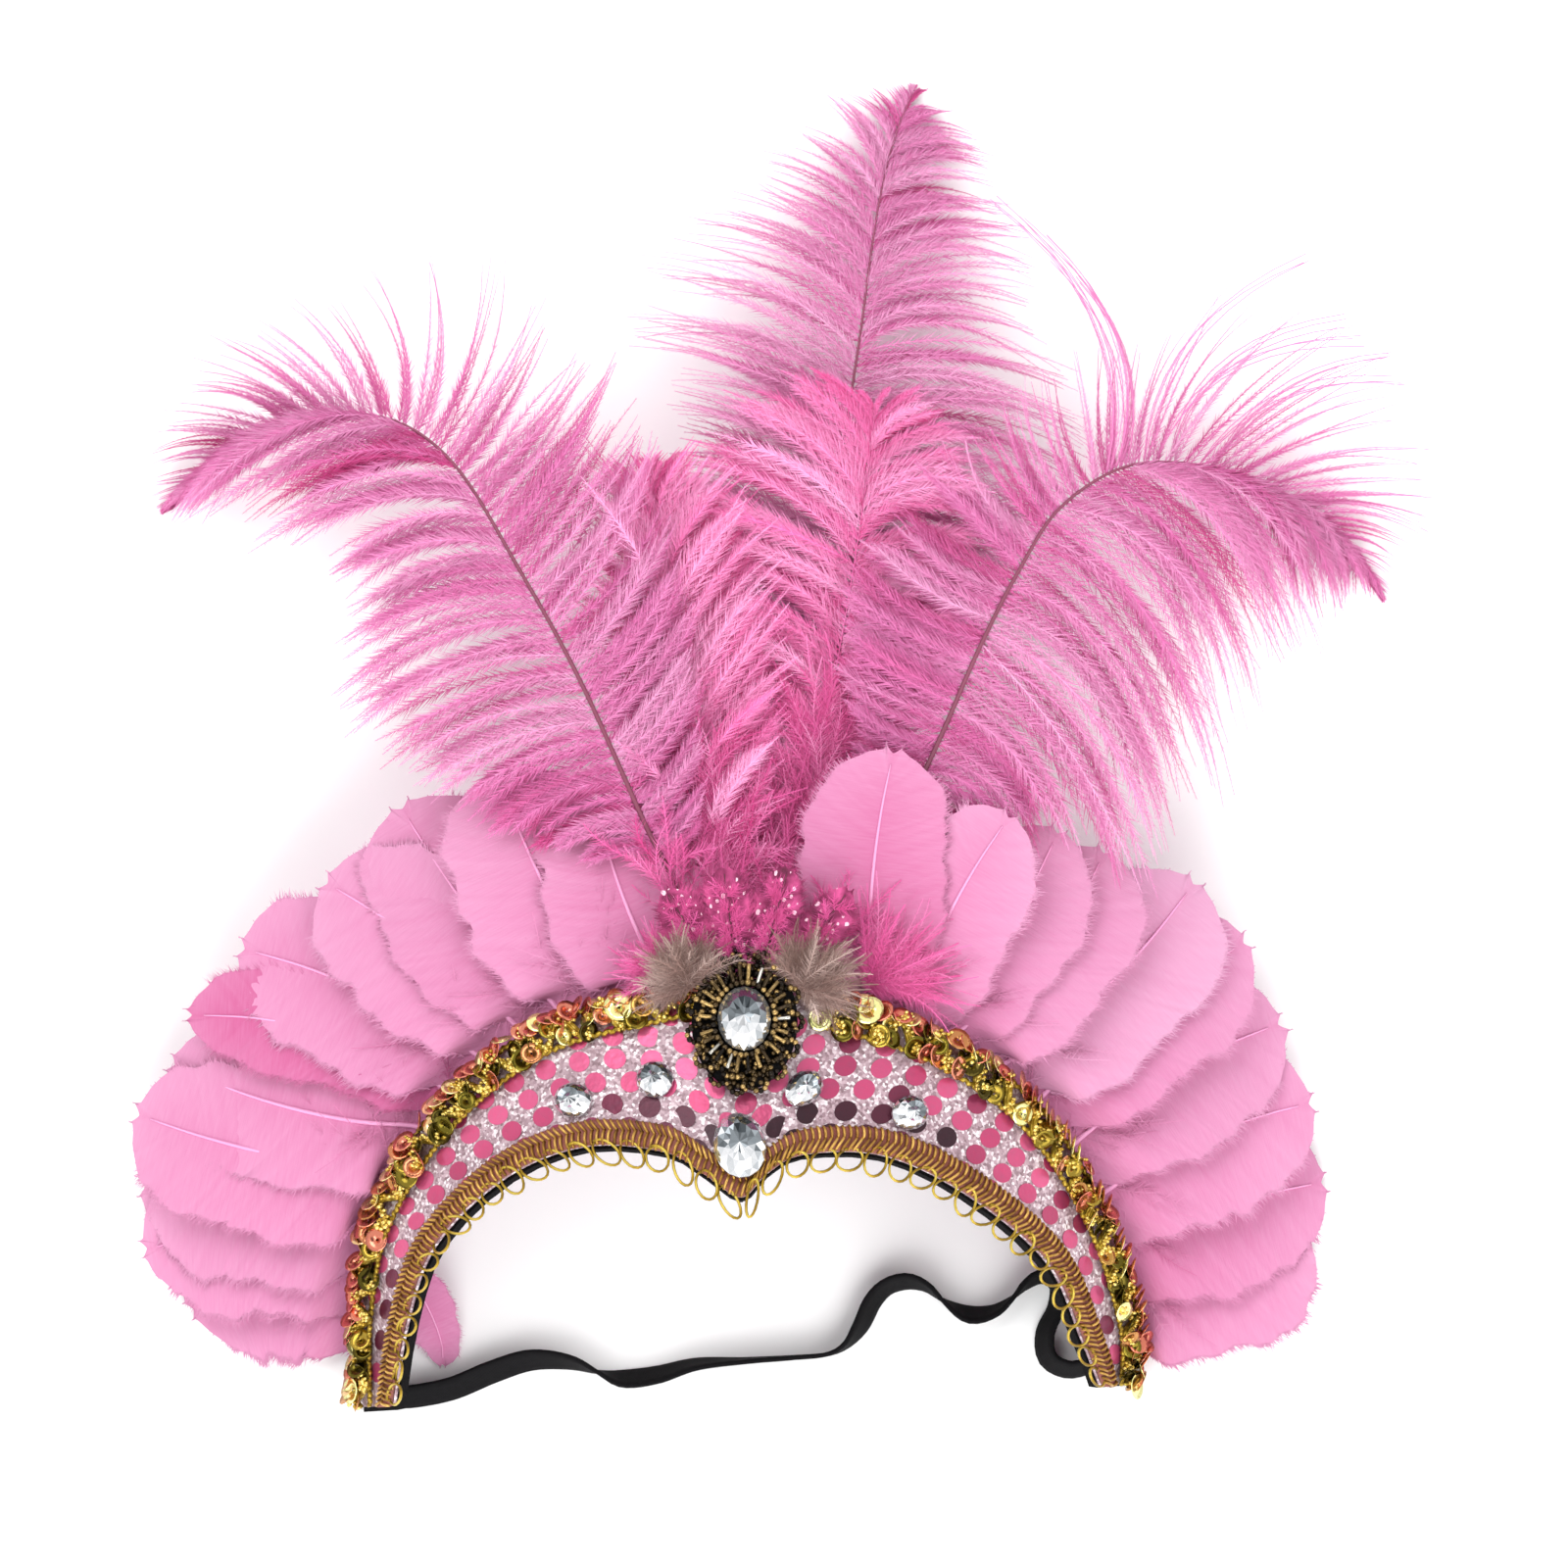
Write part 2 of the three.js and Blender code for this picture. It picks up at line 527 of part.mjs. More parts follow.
function makeBrooch() {
  const frame = bandFrame(BROOCH.along, BROOCH.across);
  const points = BROOCH.lobes * BROOCH.pointsPerLobe;
  const outline = Array.from({ length: points }, (_, k) => {
    const angle = (2 * Math.PI * k) / points;
    const notch = (BROOCH.lobeDepth / BROOCH.radiusX) * Math.abs(Math.sin((BROOCH.lobes * angle) / 2));
    const point = new THREE.Vector2(BROOCH.radiusX * Math.cos(angle), BROOCH.radiusY * Math.sin(angle));
    return point.multiplyScalar(1 - notch);
  });
  const extrude = (shape, depth) => new THREE.ExtrudeGeometry(shape, { depth, bevelEnabled: false });
  const plate = extrude(new THREE.Shape(outline), BROOCH.thick);
  const ring = new THREE.Shape(ovalPath(GAP + BROOCH.collarWall));
  ring.holes.push(new THREE.Path(ovalPath(GAP)));
  const collar = extrude(ring, BROOCH.collarHeight + BROOCH.collarSink);
  collar.translate(0, 0, BROOCH.thick - BROOCH.collarSink);
  addPiece('centre_brooch', placeOnFrame(fuse([plate, collar]), frame, BROOCH.lift), COLOURS.bronze);
  addPiece('brooch_stone',
    stoneGeometry(frame, BROOCH.lift + BROOCH.thick + GAP, BROOCH.stoneX, BROOCH.stoneY, BROOCH.stoneHeight),
    COLOURS.stone);
}

// A thin blade along a path of points, arched a little across its width. At its root it lies across the
// direction rootSide, and it turns level as it leaves the root
function blade(path, width, profile, camber, rootSide) {
  const curve = new THREE.CatmullRomCurve3(path, false, 'centripetal');
  const rings = [];
  for (const [share, fullness] of profile) {
    const half = (width * fullness) / 2;
    const point = curve.getPointAt(share);
    const tangent = curve.getTangentAt(share);
    const level = vec(0, 0, 0).crossVectors(UP, tangent).normalize();
    const start = rootSide.clone().multiplyScalar(Math.sign(rootSide.dot(level)) || 1);
    const turned = THREE.MathUtils.smoothstep(share, BLADE_TURN.start, BLADE_TURN.end);
    const side = start.lerp(level, turned).normalize();
    const upright = vec(0, 0, 0).crossVectors(tangent, side).normalize();
    const drop = camber * fullness * fullness;
    const left = point.clone().addScaledVector(side, half).addScaledVector(upright, -drop);
    const right = point.clone().addScaledVector(side, -half).addScaledVector(upright, -drop);
    const below = (p) => p.clone().addScaledVector(upright, -BLADE_THICK);
    rings.push([left, point, right, below(right), below(point), below(left)]);
  }
  return loft(rings);
}

// A flat feather starts against the back of the base, leaves it over the upper edge and droops to its tip
function makeFlatFeathers() {
  for (const row of FEATHER_ROWS) {
    const feather = named(FEATHER_COLUMNS, row);
    const { width, onward } = bandFrame(feather.root, 0.5);
    const root = bandPoint(feather.root, width - FEATHER_SEAT, BEHIND_BASE);
    const edge = bandPoint(feather.root, width + FEATHER_LEAD, BEHIND_BASE);
    const tip = vec(feather.tipX, feather.tipY, feather.tipZ);
    const across = vec(0, 0, 0).crossVectors(UP, tip.clone().sub(edge)).normalize();
    const between = (share) => edge.clone().lerp(tip, share)
      .addScaledVector(across, feather.bow * 4 * share * (1 - share))
      .addScaledVector(UP, feather.rise * 4 * share * (1 - share));
    const path = [root, edge, between(0.25), between(0.5), between(0.75), tip];
    addPiece(feather.name, blade(path, feather.width, BLADE_PROFILE, FEATHER_CAMBER, onward), COLOURS.flat);
  }
}

function makeInnerFeather() {
  const feather = INNER_FEATHER;
  const { width, onward } = bandFrame(feather.root, 0.5);
  const path = [bandPoint(feather.root, width - FEATHER_SEAT, BEHIND_BASE)];
  for (const row of INNER_FEATHER_ROWS) {
    const { x, y, z } = named(INNER_FEATHER_COLUMNS, row);
    path.push(vec(x, y, z));
  }
  addPiece('feather_left_inner', blade(path, feather.width, BLADE_PROFILE, feather.camber, onward), COLOURS.flat);
}

function makeGuineaFeathers() {
  for (const row of GUINEA_ROWS) {
    const feather = named(GUINEA_COLUMNS, row);
    const { width, onward } = bandFrame(feather.root, 0.5);
    const root = bandPoint(feather.root, width - GUINEA_SEAT, ON_COVER + BLADE_THICK);
    const edge = bandPoint(feather.root, width + GUINEA_LEAD, ON_COVER + BLADE_THICK);
    const tip = vec(feather.tipX, feather.tipY, feather.tipZ);
    const path = [root, edge, edge.clone().lerp(tip, 0.5), tip];
    const geometry = blade(path, GUINEA_WIDTH, GUINEA_PROFILE, GUINEA_CAMBER, onward);
    addPiece(feather.name, geometry, COLOURS.guinea);
  }
}

// A plume: rows of rings across the quill, whose side points reach out in turn to the tip of a lock and
// to the valley between two locks
function plumeGeometry(rows) {
  const last = rows.length - 1;
  const rings = [];
  for (let i = 0; i <= LOCK_ROWS; i++) {
    const place = (last * i) / LOCK_ROWS;
    const here = readRow(rows, PLUME_COLUMNS, place);
    const ahead = readRow(rows, PLUME_COLUMNS, Math.min(place + LOOK, last));
    const behind = readRow(rows, PLUME_COLUMNS, Math.max(place - LOOK, 0));
    const heading = Math.atan2(ahead.y - behind.y, ahead.x - behind.x);
    const isTip = i % 2 === 0;
    const quill = vec(here.x, here.y, here.z);
    const widest = Math.max(here.leftLength, here.rightLength);
    const half = Math.min(PLUME_HALF_THICK, QUILL_RADIUS * SWELL.lock + widest * SWELL.perLength);
    const side = (length, angle) => {
      const reach = Math.max(length * (isTip ? 1 : LOCK_VALLEY), QUILL_RADIUS);
      const direction = vec(Math.cos(angle), Math.sin(angle), 0);
      const droop = reach > QUILL_RADIUS ? BARB_DROOP * reach : 0;
      const at = (share, rise) => {
        const point = quill.clone().addScaledVector(direction, reach * share);
        point.z = Math.max(point.z - droop * share * share + rise, FLOOR_CLEARANCE + rise);
        return point;
      };
      const swell = half * (isTip ? SWELL.lock : SWELL.valley);
      const below = -Math.min(swell, FLOOR_CLEARANCE);
      return { end: at(1, 0), top: at(SWELL_AT, swell), bottom: at(SWELL_AT, below) };
    };
    const left = side(here.leftLength, heading + here.leftAngle * TO_RAD);
    const right = side(here.rightLength, heading - here.rightAngle * TO_RAD);
    const under = Math.min(half, Math.max(here.z - TIP_CLEARANCE, TIP_CLEARANCE));
    rings.push([
      left.end, left.top, quill.clone().addScaledVector(UP, half), right.top,
      right.end, right.bottom, quill.clone().addScaledVector(UP, -under), left.bottom,
    ]);
  }
  return loft(rings);
}

// The bare end of a quill lies against the back of the base and leaves it over the upper edge
function makePlumes() {
  for (const [name, { root, rows }] of Object.entries(PLUMES)) {
    const { width } = bandFrame(root, 0.5);
    const bare = [width - QUILL_SEAT, width + QUILL_LEAD].map((across) => {
      const point = bandPoint(root, across, QUILLS_BEHIND);
      return [point.x, point.y, point.z, QUILL_RADIUS, 90, QUILL_RADIUS, 90];
    });
    addPiece(name, plumeGeometry([...bare, ...rows]), COLOURS.plume);
  }
}

// A tuft of down: a fan of pointed locks, thickest at its middle, closed at a narrow root
function makeTufts() {
  for (const row of TUFT_ROWS) {
    const tuft = named(TUFT_COLUMNS, row);
    const root = vec(tuft.x, tuft.y, tuft.z);
    const outline = [];
    const points = TUFT_LOCKS * 2;
    for (let k = 0; k <= points; k++) {
      const angle = (tuft.heading + tuft.spread * (k / points - 0.5)) * TO_RAD;
      const reach = tuft.length * (k % 2 ? TUFT_VALLEY : 1);
      outline.push(root.clone().add(vec(Math.cos(angle) * reach, Math.sin(angle) * reach, tuft.rise)));
    }
    outline.push(root);
    const heading = vec(Math.cos(tuft.heading * TO_RAD), Math.sin(tuft.heading * TO_RAD), 0);
    const middle = root.clone().addScaledVector(heading, tuft.length * TUFT_MIDDLE);
    const top = middle.clone().addScaledVector(UP, tuft.thick / 2);
    const bottom = middle.clone().addScaledVector(UP, -tuft.thick / 2);
    const count = outline.length;
    const triangles = [];
    for (let k = 0; k < count; k++) {
      const next = (k + 1) % count;
      triangles.push([k, next, count], [next, k, count + 1]);
    }
    addPiece(tuft.name, closedGeometry([...outline, top, bottom], triangles),
      { color: tuft.colour, roughness: 0.9, metalness: 0 });
  }
}

// The strap lies on the surface below, as high as its tilt makes it
function makeStrap() {
  const last = STRAP_ROWS.length - 1;
  const rings = [];
  for (let i = 0; i <= STRAP_STEPS; i++) {
    const place = (last * i) / STRAP_STEPS;
    const here = readRow(STRAP_ROWS, STRAP_COLUMNS, place);
    const ahead = readRow(STRAP_ROWS, STRAP_COLUMNS, Math.min(place + LOOK, last));
    const behind = readRow(STRAP_ROWS, STRAP_COLUMNS, Math.max(place - LOOK, 0));
    const tangent = vec(ahead.x - behind.x, ahead.y - behind.y, 0).normalize();
    const side = vec(0, 0, 0).crossVectors(UP, tangent);
    const tilt = here.tilt * TO_RAD;
    const across = side.clone().multiplyScalar(Math.cos(tilt)).addScaledVector(UP, Math.sin(tilt));
    const through = side.clone().multiplyScalar(-Math.sin(tilt)).addScaledVector(UP, Math.cos(tilt));
    const height = (STRAP_WIDTH * Math.abs(Math.sin(tilt)) + STRAP_THICK * Math.abs(Math.cos(tilt))) / 2;
    const centre = vec(here.x, here.y, height + STRAP_CLEARANCE);
    const corner = (w, t) => centre.clone()
      .addScaledVector(across, (w * STRAP_WIDTH) / 2).addScaledVector(through, (t * STRAP_THICK) / 2);
    rings.push([corner(-1, -1), corner(1, -1), corner(1, 1), corner(-1, 1)]);
  }
  addPiece('elastic_strap', loft(rings), COLOURS.base);
}

makeBase();
makeCover();
makeTrim('sequin_trim_left', TRIM_END, TRIM_STOPS.left);
makeTrim('sequin_trim_right', TRIM_STOPS.right, LAST_ROW - TRIM_END);
makeBraid();
makeStones();
makeBrooch();
makePlumes();
makeFlatFeathers();
makeInnerFeather();
makeGuineaFeathers();
makeTufts();
makeStrap();

// The origin is the middle of the underside of the box round the whole part
const box = new THREE.Box3().setFromObject(headdress);
const middle = box.getCenter(vec(0, 0, 0));
headdress.position.set(-middle.x, -middle.y, -box.min.z);
headdress.updateMatrixWorld(true);

export default headdress;
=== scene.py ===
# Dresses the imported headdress. The camera and the strap come first, then the plumes, the fans of flat
# feathers, the trimmed band and the brooch.
# Points and sizes are in millimetres from the middle of the photograph's frame, with +Z up, until a mesh is
# made.
import math

import bpy
import numpy as np
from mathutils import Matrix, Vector


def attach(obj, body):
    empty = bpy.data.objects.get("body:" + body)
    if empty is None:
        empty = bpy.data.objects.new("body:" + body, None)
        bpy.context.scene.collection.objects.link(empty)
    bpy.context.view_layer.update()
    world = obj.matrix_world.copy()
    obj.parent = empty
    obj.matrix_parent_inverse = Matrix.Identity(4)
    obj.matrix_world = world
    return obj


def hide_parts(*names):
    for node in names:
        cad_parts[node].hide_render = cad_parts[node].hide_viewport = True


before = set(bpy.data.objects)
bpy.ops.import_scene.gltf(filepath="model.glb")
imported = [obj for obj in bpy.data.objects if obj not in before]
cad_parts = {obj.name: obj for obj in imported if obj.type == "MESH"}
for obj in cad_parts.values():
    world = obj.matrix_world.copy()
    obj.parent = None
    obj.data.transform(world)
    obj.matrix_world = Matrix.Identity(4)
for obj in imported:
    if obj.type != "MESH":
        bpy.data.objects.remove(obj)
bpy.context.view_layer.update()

# The CAD model's own move from the middle of the frame to its origin, in mm
SHIFT = np.array([2.528, -8.493, -0.101])
FLOOR = -SHIFT[2]
ABOVE_FLOOR = 0.25
UP = np.array([0.0, 0.0, 1.0])


# Camera, straight above the middle of the frame: what the frame spans and the sensor's size in mm, then how
# far away the camera is, the level that this is counted from and how far it sees, in metres
FRAME_MM = 352.0
SENSOR = 36.0
CAMERA_AWAY = 4.0
CAMERA_LEVEL = 0.03
CAMERA_SEES = 20.0

camera_data = bpy.data.cameras.new("camera")
camera_data.sensor_width = SENSOR
camera_data.lens = SENSOR * CAMERA_AWAY / (FRAME_MM / 1000)
camera_data.clip_end = CAMERA_SEES
camera = bpy.data.objects.new("camera", camera_data)
camera.location = (SHIFT[0] / 1000, SHIFT[1] / 1000, CAMERA_AWAY + CAMERA_LEVEL)
bpy.context.collection.objects.link(camera)
bpy.context.scene.camera = camera


# Curves through tables
def curve(rows, places):
    """A smooth curve through the rows of a table, read at places counted in rows."""
    rows = np.asarray(rows, float)
    last = len(rows) - 1
    places = np.atleast_1d(np.asarray(places, float))
    row = np.clip(np.floor(places).astype(int), 0, last - 1)
    t = (places - row)[:, None]
    before, start, end, after = (rows[np.clip(row + k, 0, last)] for k in (-1, 0, 1, 2))
    slope_start, slope_end = (end - before) / 2, (after - start) / 2
    t2, t3 = t * t, t * t * t
    return ((2 * t3 - 3 * t2 + 1) * start + (t3 - 2 * t2 + t) * slope_start
            + (3 * t2 - 2 * t3) * end + (t3 - t2) * slope_end)


def unit(vectors):
    """Vectors of length 1 with the same directions."""
    return vectors / np.maximum(np.linalg.norm(vectors, axis=-1, keepdims=True), 1e-9)


def walked_along(points):
    """How far along a line of points each of them lies."""
    return np.concatenate([[0], np.cumsum(np.linalg.norm(np.diff(points, axis=0), axis=1))])


def even_places(rows, count, start=0.0, end=None):
    """Places along a table's curve that lie at even distances, and the distances."""
    end = len(rows) - 1 if end is None else end
    fine = np.linspace(start, end, 600)
    walked = walked_along(curve(rows, fine)[:, :3])
    at = np.linspace(0, walked[-1], count)
    return np.interp(at, walked, fine), at


def smoothstep(x, low, high):
    """A smooth rise from 0 at low to 1 at high."""
    t = np.clip((x - low) / (high - low), 0, 1)
    return t * t * (3 - 2 * t)


def full_turn(count):
    """Angles at even steps round a full turn."""
    return np.arange(count) * 2 * math.pi / count


# Meshes
class Shape:
    """Collects points, each with a tint from 0 to 1 and flat coordinates, and triangles, each with a slot."""

    def __init__(self):
        self.points, self.triangles, self.tints, self.flat, self.slots = [], [], [], [], []
        self.count = 0

    def add(self, points, triangles, tint=0.5, flat=None, slot=0):
        points = np.asarray(points, float).reshape(-1, 3)
        triangles = np.asarray(triangles, int).reshape(-1, 3)
        flat = np.zeros((len(points), 2)) if flat is None else np.asarray(flat, float).reshape(-1, 2)
        self.points.append(points)
        self.triangles.append(triangles + self.count)
        self.tints.append(np.broadcast_to(tint, (len(points),)).astype(float))
        self.flat.append(flat)
        self.slots.append(np.full(len(triangles), slot))
        self.count += len(points)

    def make(self, name, materials, smooth=True):
        points = np.concatenate(self.points)
        points[:, 2] = np.maximum(points[:, 2], FLOOR + ABOVE_FLOOR)
        triangles = np.concatenate(self.triangles)
        mesh = bpy.data.meshes.new(name)
        mesh.vertices.add(len(points))
        mesh.vertices.foreach_set("co", ((points + SHIFT) / 1000).ravel())
        mesh.loops.add(triangles.size)
        mesh.loops.foreach_set("vertex_index", triangles.ravel())
        mesh.polygons.add(len(triangles))
        mesh.polygons.foreach_set("loop_start", np.arange(0, triangles.size, 3))
        mesh.polygons.foreach_set("material_index", np.concatenate(self.slots))
        mesh.polygons.foreach_set("use_smooth", np.full(len(triangles), smooth))
        tint = mesh.attributes.new("tint", "FLOAT", "POINT")
        tint.data.foreach_set("value", np.concatenate(self.tints))
        flat = mesh.uv_layers.new(name="flat")
        flat.data.foreach_set("uv", np.concatenate(self.flat)[triangles.ravel()].ravel())
        for material in materials:
            mesh.materials.append(material)
        mesh.update(calc_edges=True)
        piece = bpy.data.objects.new(name, mesh)
        bpy.context.collection.objects.link(piece)
        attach(piece, "root")
        return piece


def grid_triangles(rows, columns, wrap=False):
    """Triangles of a grid of rows by columns of points; wrap joins the last column to the first."""
    r = np.arange(rows - 1)[:, None]
    c = np.arange(columns if wrap else columns - 1)[None, :]
    nxt = (c + 1) % columns
    a, b = r * columns + c, r * columns + nxt
    quads = np.stack([a, b, b + columns, a + columns], -1).reshape(-1, 4)
    return np.concatenate([quads[:, [0, 1, 2]], quads[:, [0, 2, 3]]])


def repeat_triangles(triangles, points_each, times):
    """The triangles of one piece, for a number of pieces that follow each other."""
    return (triangles[None] + points_each * np.arange(times)[:, None, None]).reshape(-1, 3)


def loft_triangles(rings, sides):
    """Triangles of a closed solid: rings of points joined in turn, and both ends closed."""
    end = np.array([[0, k + 1, k] for k in range(1, sides - 1)])
    return np.concatenate([grid_triangles(rings, sides, wrap=True), end, end[:, ::-1] + (rings - 1) * sides])


def add_ribbons(shape, paths, sides, widths, tint, slot=0):
    """Flat strips: paths and sides are (strips, steps, 3), widths and tint spread over (strips, steps)."""
    strips, steps, _ = paths.shape
    half = (sides * np.asarray(widths)[..., None]) / 2
    points = np.stack([paths - half, paths + half], 2)
    triangles = repeat_triangles(grid_triangles(steps, 2), steps * 2, strips)
    tints = np.repeat(np.broadcast_to(tint, (strips, steps))[..., None], 2, 2)
    shape.add(points, triangles, tints.ravel(), None, slot)


def add_tubes(shape, paths, radius, sides=6, reference=UP, tint=0.5, slot=0):
    """Round tubes: paths is (tubes, steps, 3), radius and tint spread over (tubes, steps), reference is a
    direction that the tubes don't follow."""
    tubes, steps, _ = paths.shape
    along = unit(np.gradient(paths, axis=1))
    side = unit(np.cross(along, np.broadcast_to(reference, along.shape)))
    over = np.cross(side, along)
    turn = full_turn(sides)
    ring = side[:, :, None] * np.cos(turn)[:, None] + over[:, :, None] * np.sin(turn)[:, None]
    points = paths[:, :, None] + ring * np.broadcast_to(radius, (tubes, steps))[:, :, None, None]
    triangles = repeat_triangles(loft_triangles(steps, sides), steps * sides, tubes)
    tints = np.repeat(np.broadcast_to(tint, (tubes, steps))[:, :, None], sides, 2)
    shape.add(points, triangles, tints.ravel(), None, slot)


def add_thorns(shape, base, half, tip, tint, slot=0):
    """One thin triangle for each hair, from base - half and base + half to its tip."""
    points = np.stack([base - half, base + half, tip], -2)
    shape.add(points, np.arange(points.size // 3).reshape(-1, 3), tint, None, slot)


def add_copies(shape, points, triangles, turns, places, tint=0.5, slot=0):
    """Copies of a small solid: turns is (copies, 3, 3) with the axes as columns, places (copies, 3)."""
    moved = np.einsum("nij,kj->nki", turns, points) + places[:, None]
    tints = np.repeat(np.broadcast_to(tint, (len(places),))[:, None], len(points), 1)
    shape.add(moved, repeat_triangles(triangles, len(points), len(places)), tints.ravel(), None, slot)


def ball(rings, sides):
    """A bead of radius 1 with its hole closed."""
    points = [[0, 0, 1]]
    for r in range(1, rings):
        tilt = math.pi * r / rings
        for s in range(sides):
            turn = 2 * math.pi * s / sides
            points.append([math.sin(tilt) * math.cos(turn), math.sin(tilt) * math.sin(turn), math.cos(tilt)])
    points.append([0, 0, -1])
    triangles = []
    for s in range(sides):
        n = (s + 1) % sides
        triangles.append([0, 1 + s, 1 + n])
        for r in range(rings - 2):
            a, b = 1 + r * sides + s, 1 + r * sides + n
            triangles += [[a, a + sides, b + sides], [a, b + sides, b]]
        end = 1 + (rings - 2) * sides
        triangles.append([end + s, len(points) - 1, end + n])
    return np.array(points, float), np.array(triangles)


def flat_disc(radius_x, radius_y, thick, top, sides):
    """A disc that stands on z 0: its rim is as high as thick, the middle of its upper face as high as top."""
    turn = full_turn(sides)
    rim_x, rim_y = np.cos(turn) * radius_x, np.sin(turn) * radius_y
    low, high = (np.column_stack([rim_x, rim_y, np.full(sides, z)]) for z in (0.0, thick))
    triangles = []
    for k in range(sides):
        n = (k + 1) % sides
        triangles += [[k, n, n + sides], [k, n + sides, k + sides]]
        triangles += [[k + sides, n + sides, 2 * sides], [n, k, 2 * sides + 1]]
    return np.concatenate([low, high, [[0, 0, top], [0, 0, 0]]]), np.array(triangles)


# The band: x, y and z of its lower edge in the photograph, then of its upper edge, from left to right
BAND = [
    [-87.0, -141.0, 17.0, -95.0, -142.0, 1.0], [-83.5, -121.0, 29.0, -95.5, -120.0, 10.0],
    [-77.0, -103.5, 41.0, -91.5, -97.0, 22.0], [-61.5, -88.5, 53.5, -77.0, -72.5, 36.0],
    [-44.0, -81.5, 62.5, -54.0, -54.0, 46.5], [-26.5, -82.5, 69.0, -26.5, -46.0, 54.5],
    [-17.5, -87.5, 71.0, -16.5, -44.5, 57.5], [-9.5, -92.5, 72.0, -8.5, -44.5, 58.5],
    [-3.5, -87.0, 71.5, 1.0, -45.5, 58.0], [4.5, -83.0, 69.5, 12.0, -48.0, 55.5],
    [22.0, -83.5, 63.0, 35.0, -56.0, 48.0], [40.5, -92.5, 52.5, 57.0, -72.5, 35.5],
    [58.0, -107.5, 38.5, 71.5, -97.0, 21.0], [66.0, -125.0, 24.5, 79.0, -122.0, 7.5],
    [70.5, -136.0, 17.0, 77.0, -136.0, 1.0],
]
LAST_ROW = len(BAND) - 1
# The layers of the band and their gaps, and how far each lies above the front face of the base. The foil dots
# lie in the gap between the cover and its trims.
GAP = 0.3
BASE_THICK = 2.0
ON_BASE = GAP
COVER_THICK = 0.8
TRIM_GAP = 0.42
ON_COVER = ON_BASE + COVER_THICK + TRIM_GAP
BLADE_THICK = 0.8
COVER_INSET = 0.6
TRIM_END = 0.1
BRAID_INSET = 0.9
BRAID_WIDTH = 5.5
BRAID_THICK = 1.6
ON_BRAID = ON_COVER + BRAID_THICK + GAP
BAND_STEPS = 260


def band_frame(along, across):
    """Point, direction along, direction across and front of the band, and its width, at arrays of places."""
    along = np.atleast_1d(np.asarray(along, float))
    across = np.broadcast_to(np.asarray(across, float), along.shape)[:, None]

    def line(at):
        edges = curve(BAND, np.clip(at, 0, LAST_ROW))
        return edges[:, :3], edges[:, 3:]

    inner, outer = line(along)
    before, after = line(along - 0.02), line(along + 0.02)
    onward = unit((after[0] - before[0]) * (1 - across) + (after[1] - before[1]) * across)
    upward = unit(outer - inner)
    front = unit(np.cross(onward, upward))
    return inner * (1 - across) + outer * across, onward, upward, front, np.linalg.norm(outer - inner, axis=1)


def band_point(along, from_inner, lift):
    """Points given in mm from the lower edge and above the front face of the base."""
    along = np.atleast_1d(np.asarray(along, float))
    _, _, _, front, width = band_frame(along, 0.5)
    edges = curve(BAND, along)
    share = (np.broadcast_to(from_inner, along.shape) / width)[:, None]
    lift = np.broadcast_to(lift, along.shape)[:, None]
    return edges[:, :3] * (1 - share) + edges[:, 3:] * share + front * lift


def band_walk(pitch, from_inner=0.0, start=0.0, end=LAST_ROW):
    """Places along the band that lie a pitch apart at this distance from the lower edge."""
    fine = np.linspace(start, end, 2000)
    walked = walked_along(band_point(fine, from_inner, 0))
    count = int(walked[-1] / pitch)
    return np.interp((np.arange(count) + 0.5) * walked[-1] / count, walked, fine)


# Materials: every colour is given as 0 to 255 in sRGB
def srgb(red, green, blue):
    """A colour as the linear values that nodes take."""
    def linear(v):
        v /= 255
        return v / 12.92 if v <= 0.04045 else ((v + 0.055) / 1.055) ** 2.4
    return (linear(red), linear(green), linear(blue), 1.0)


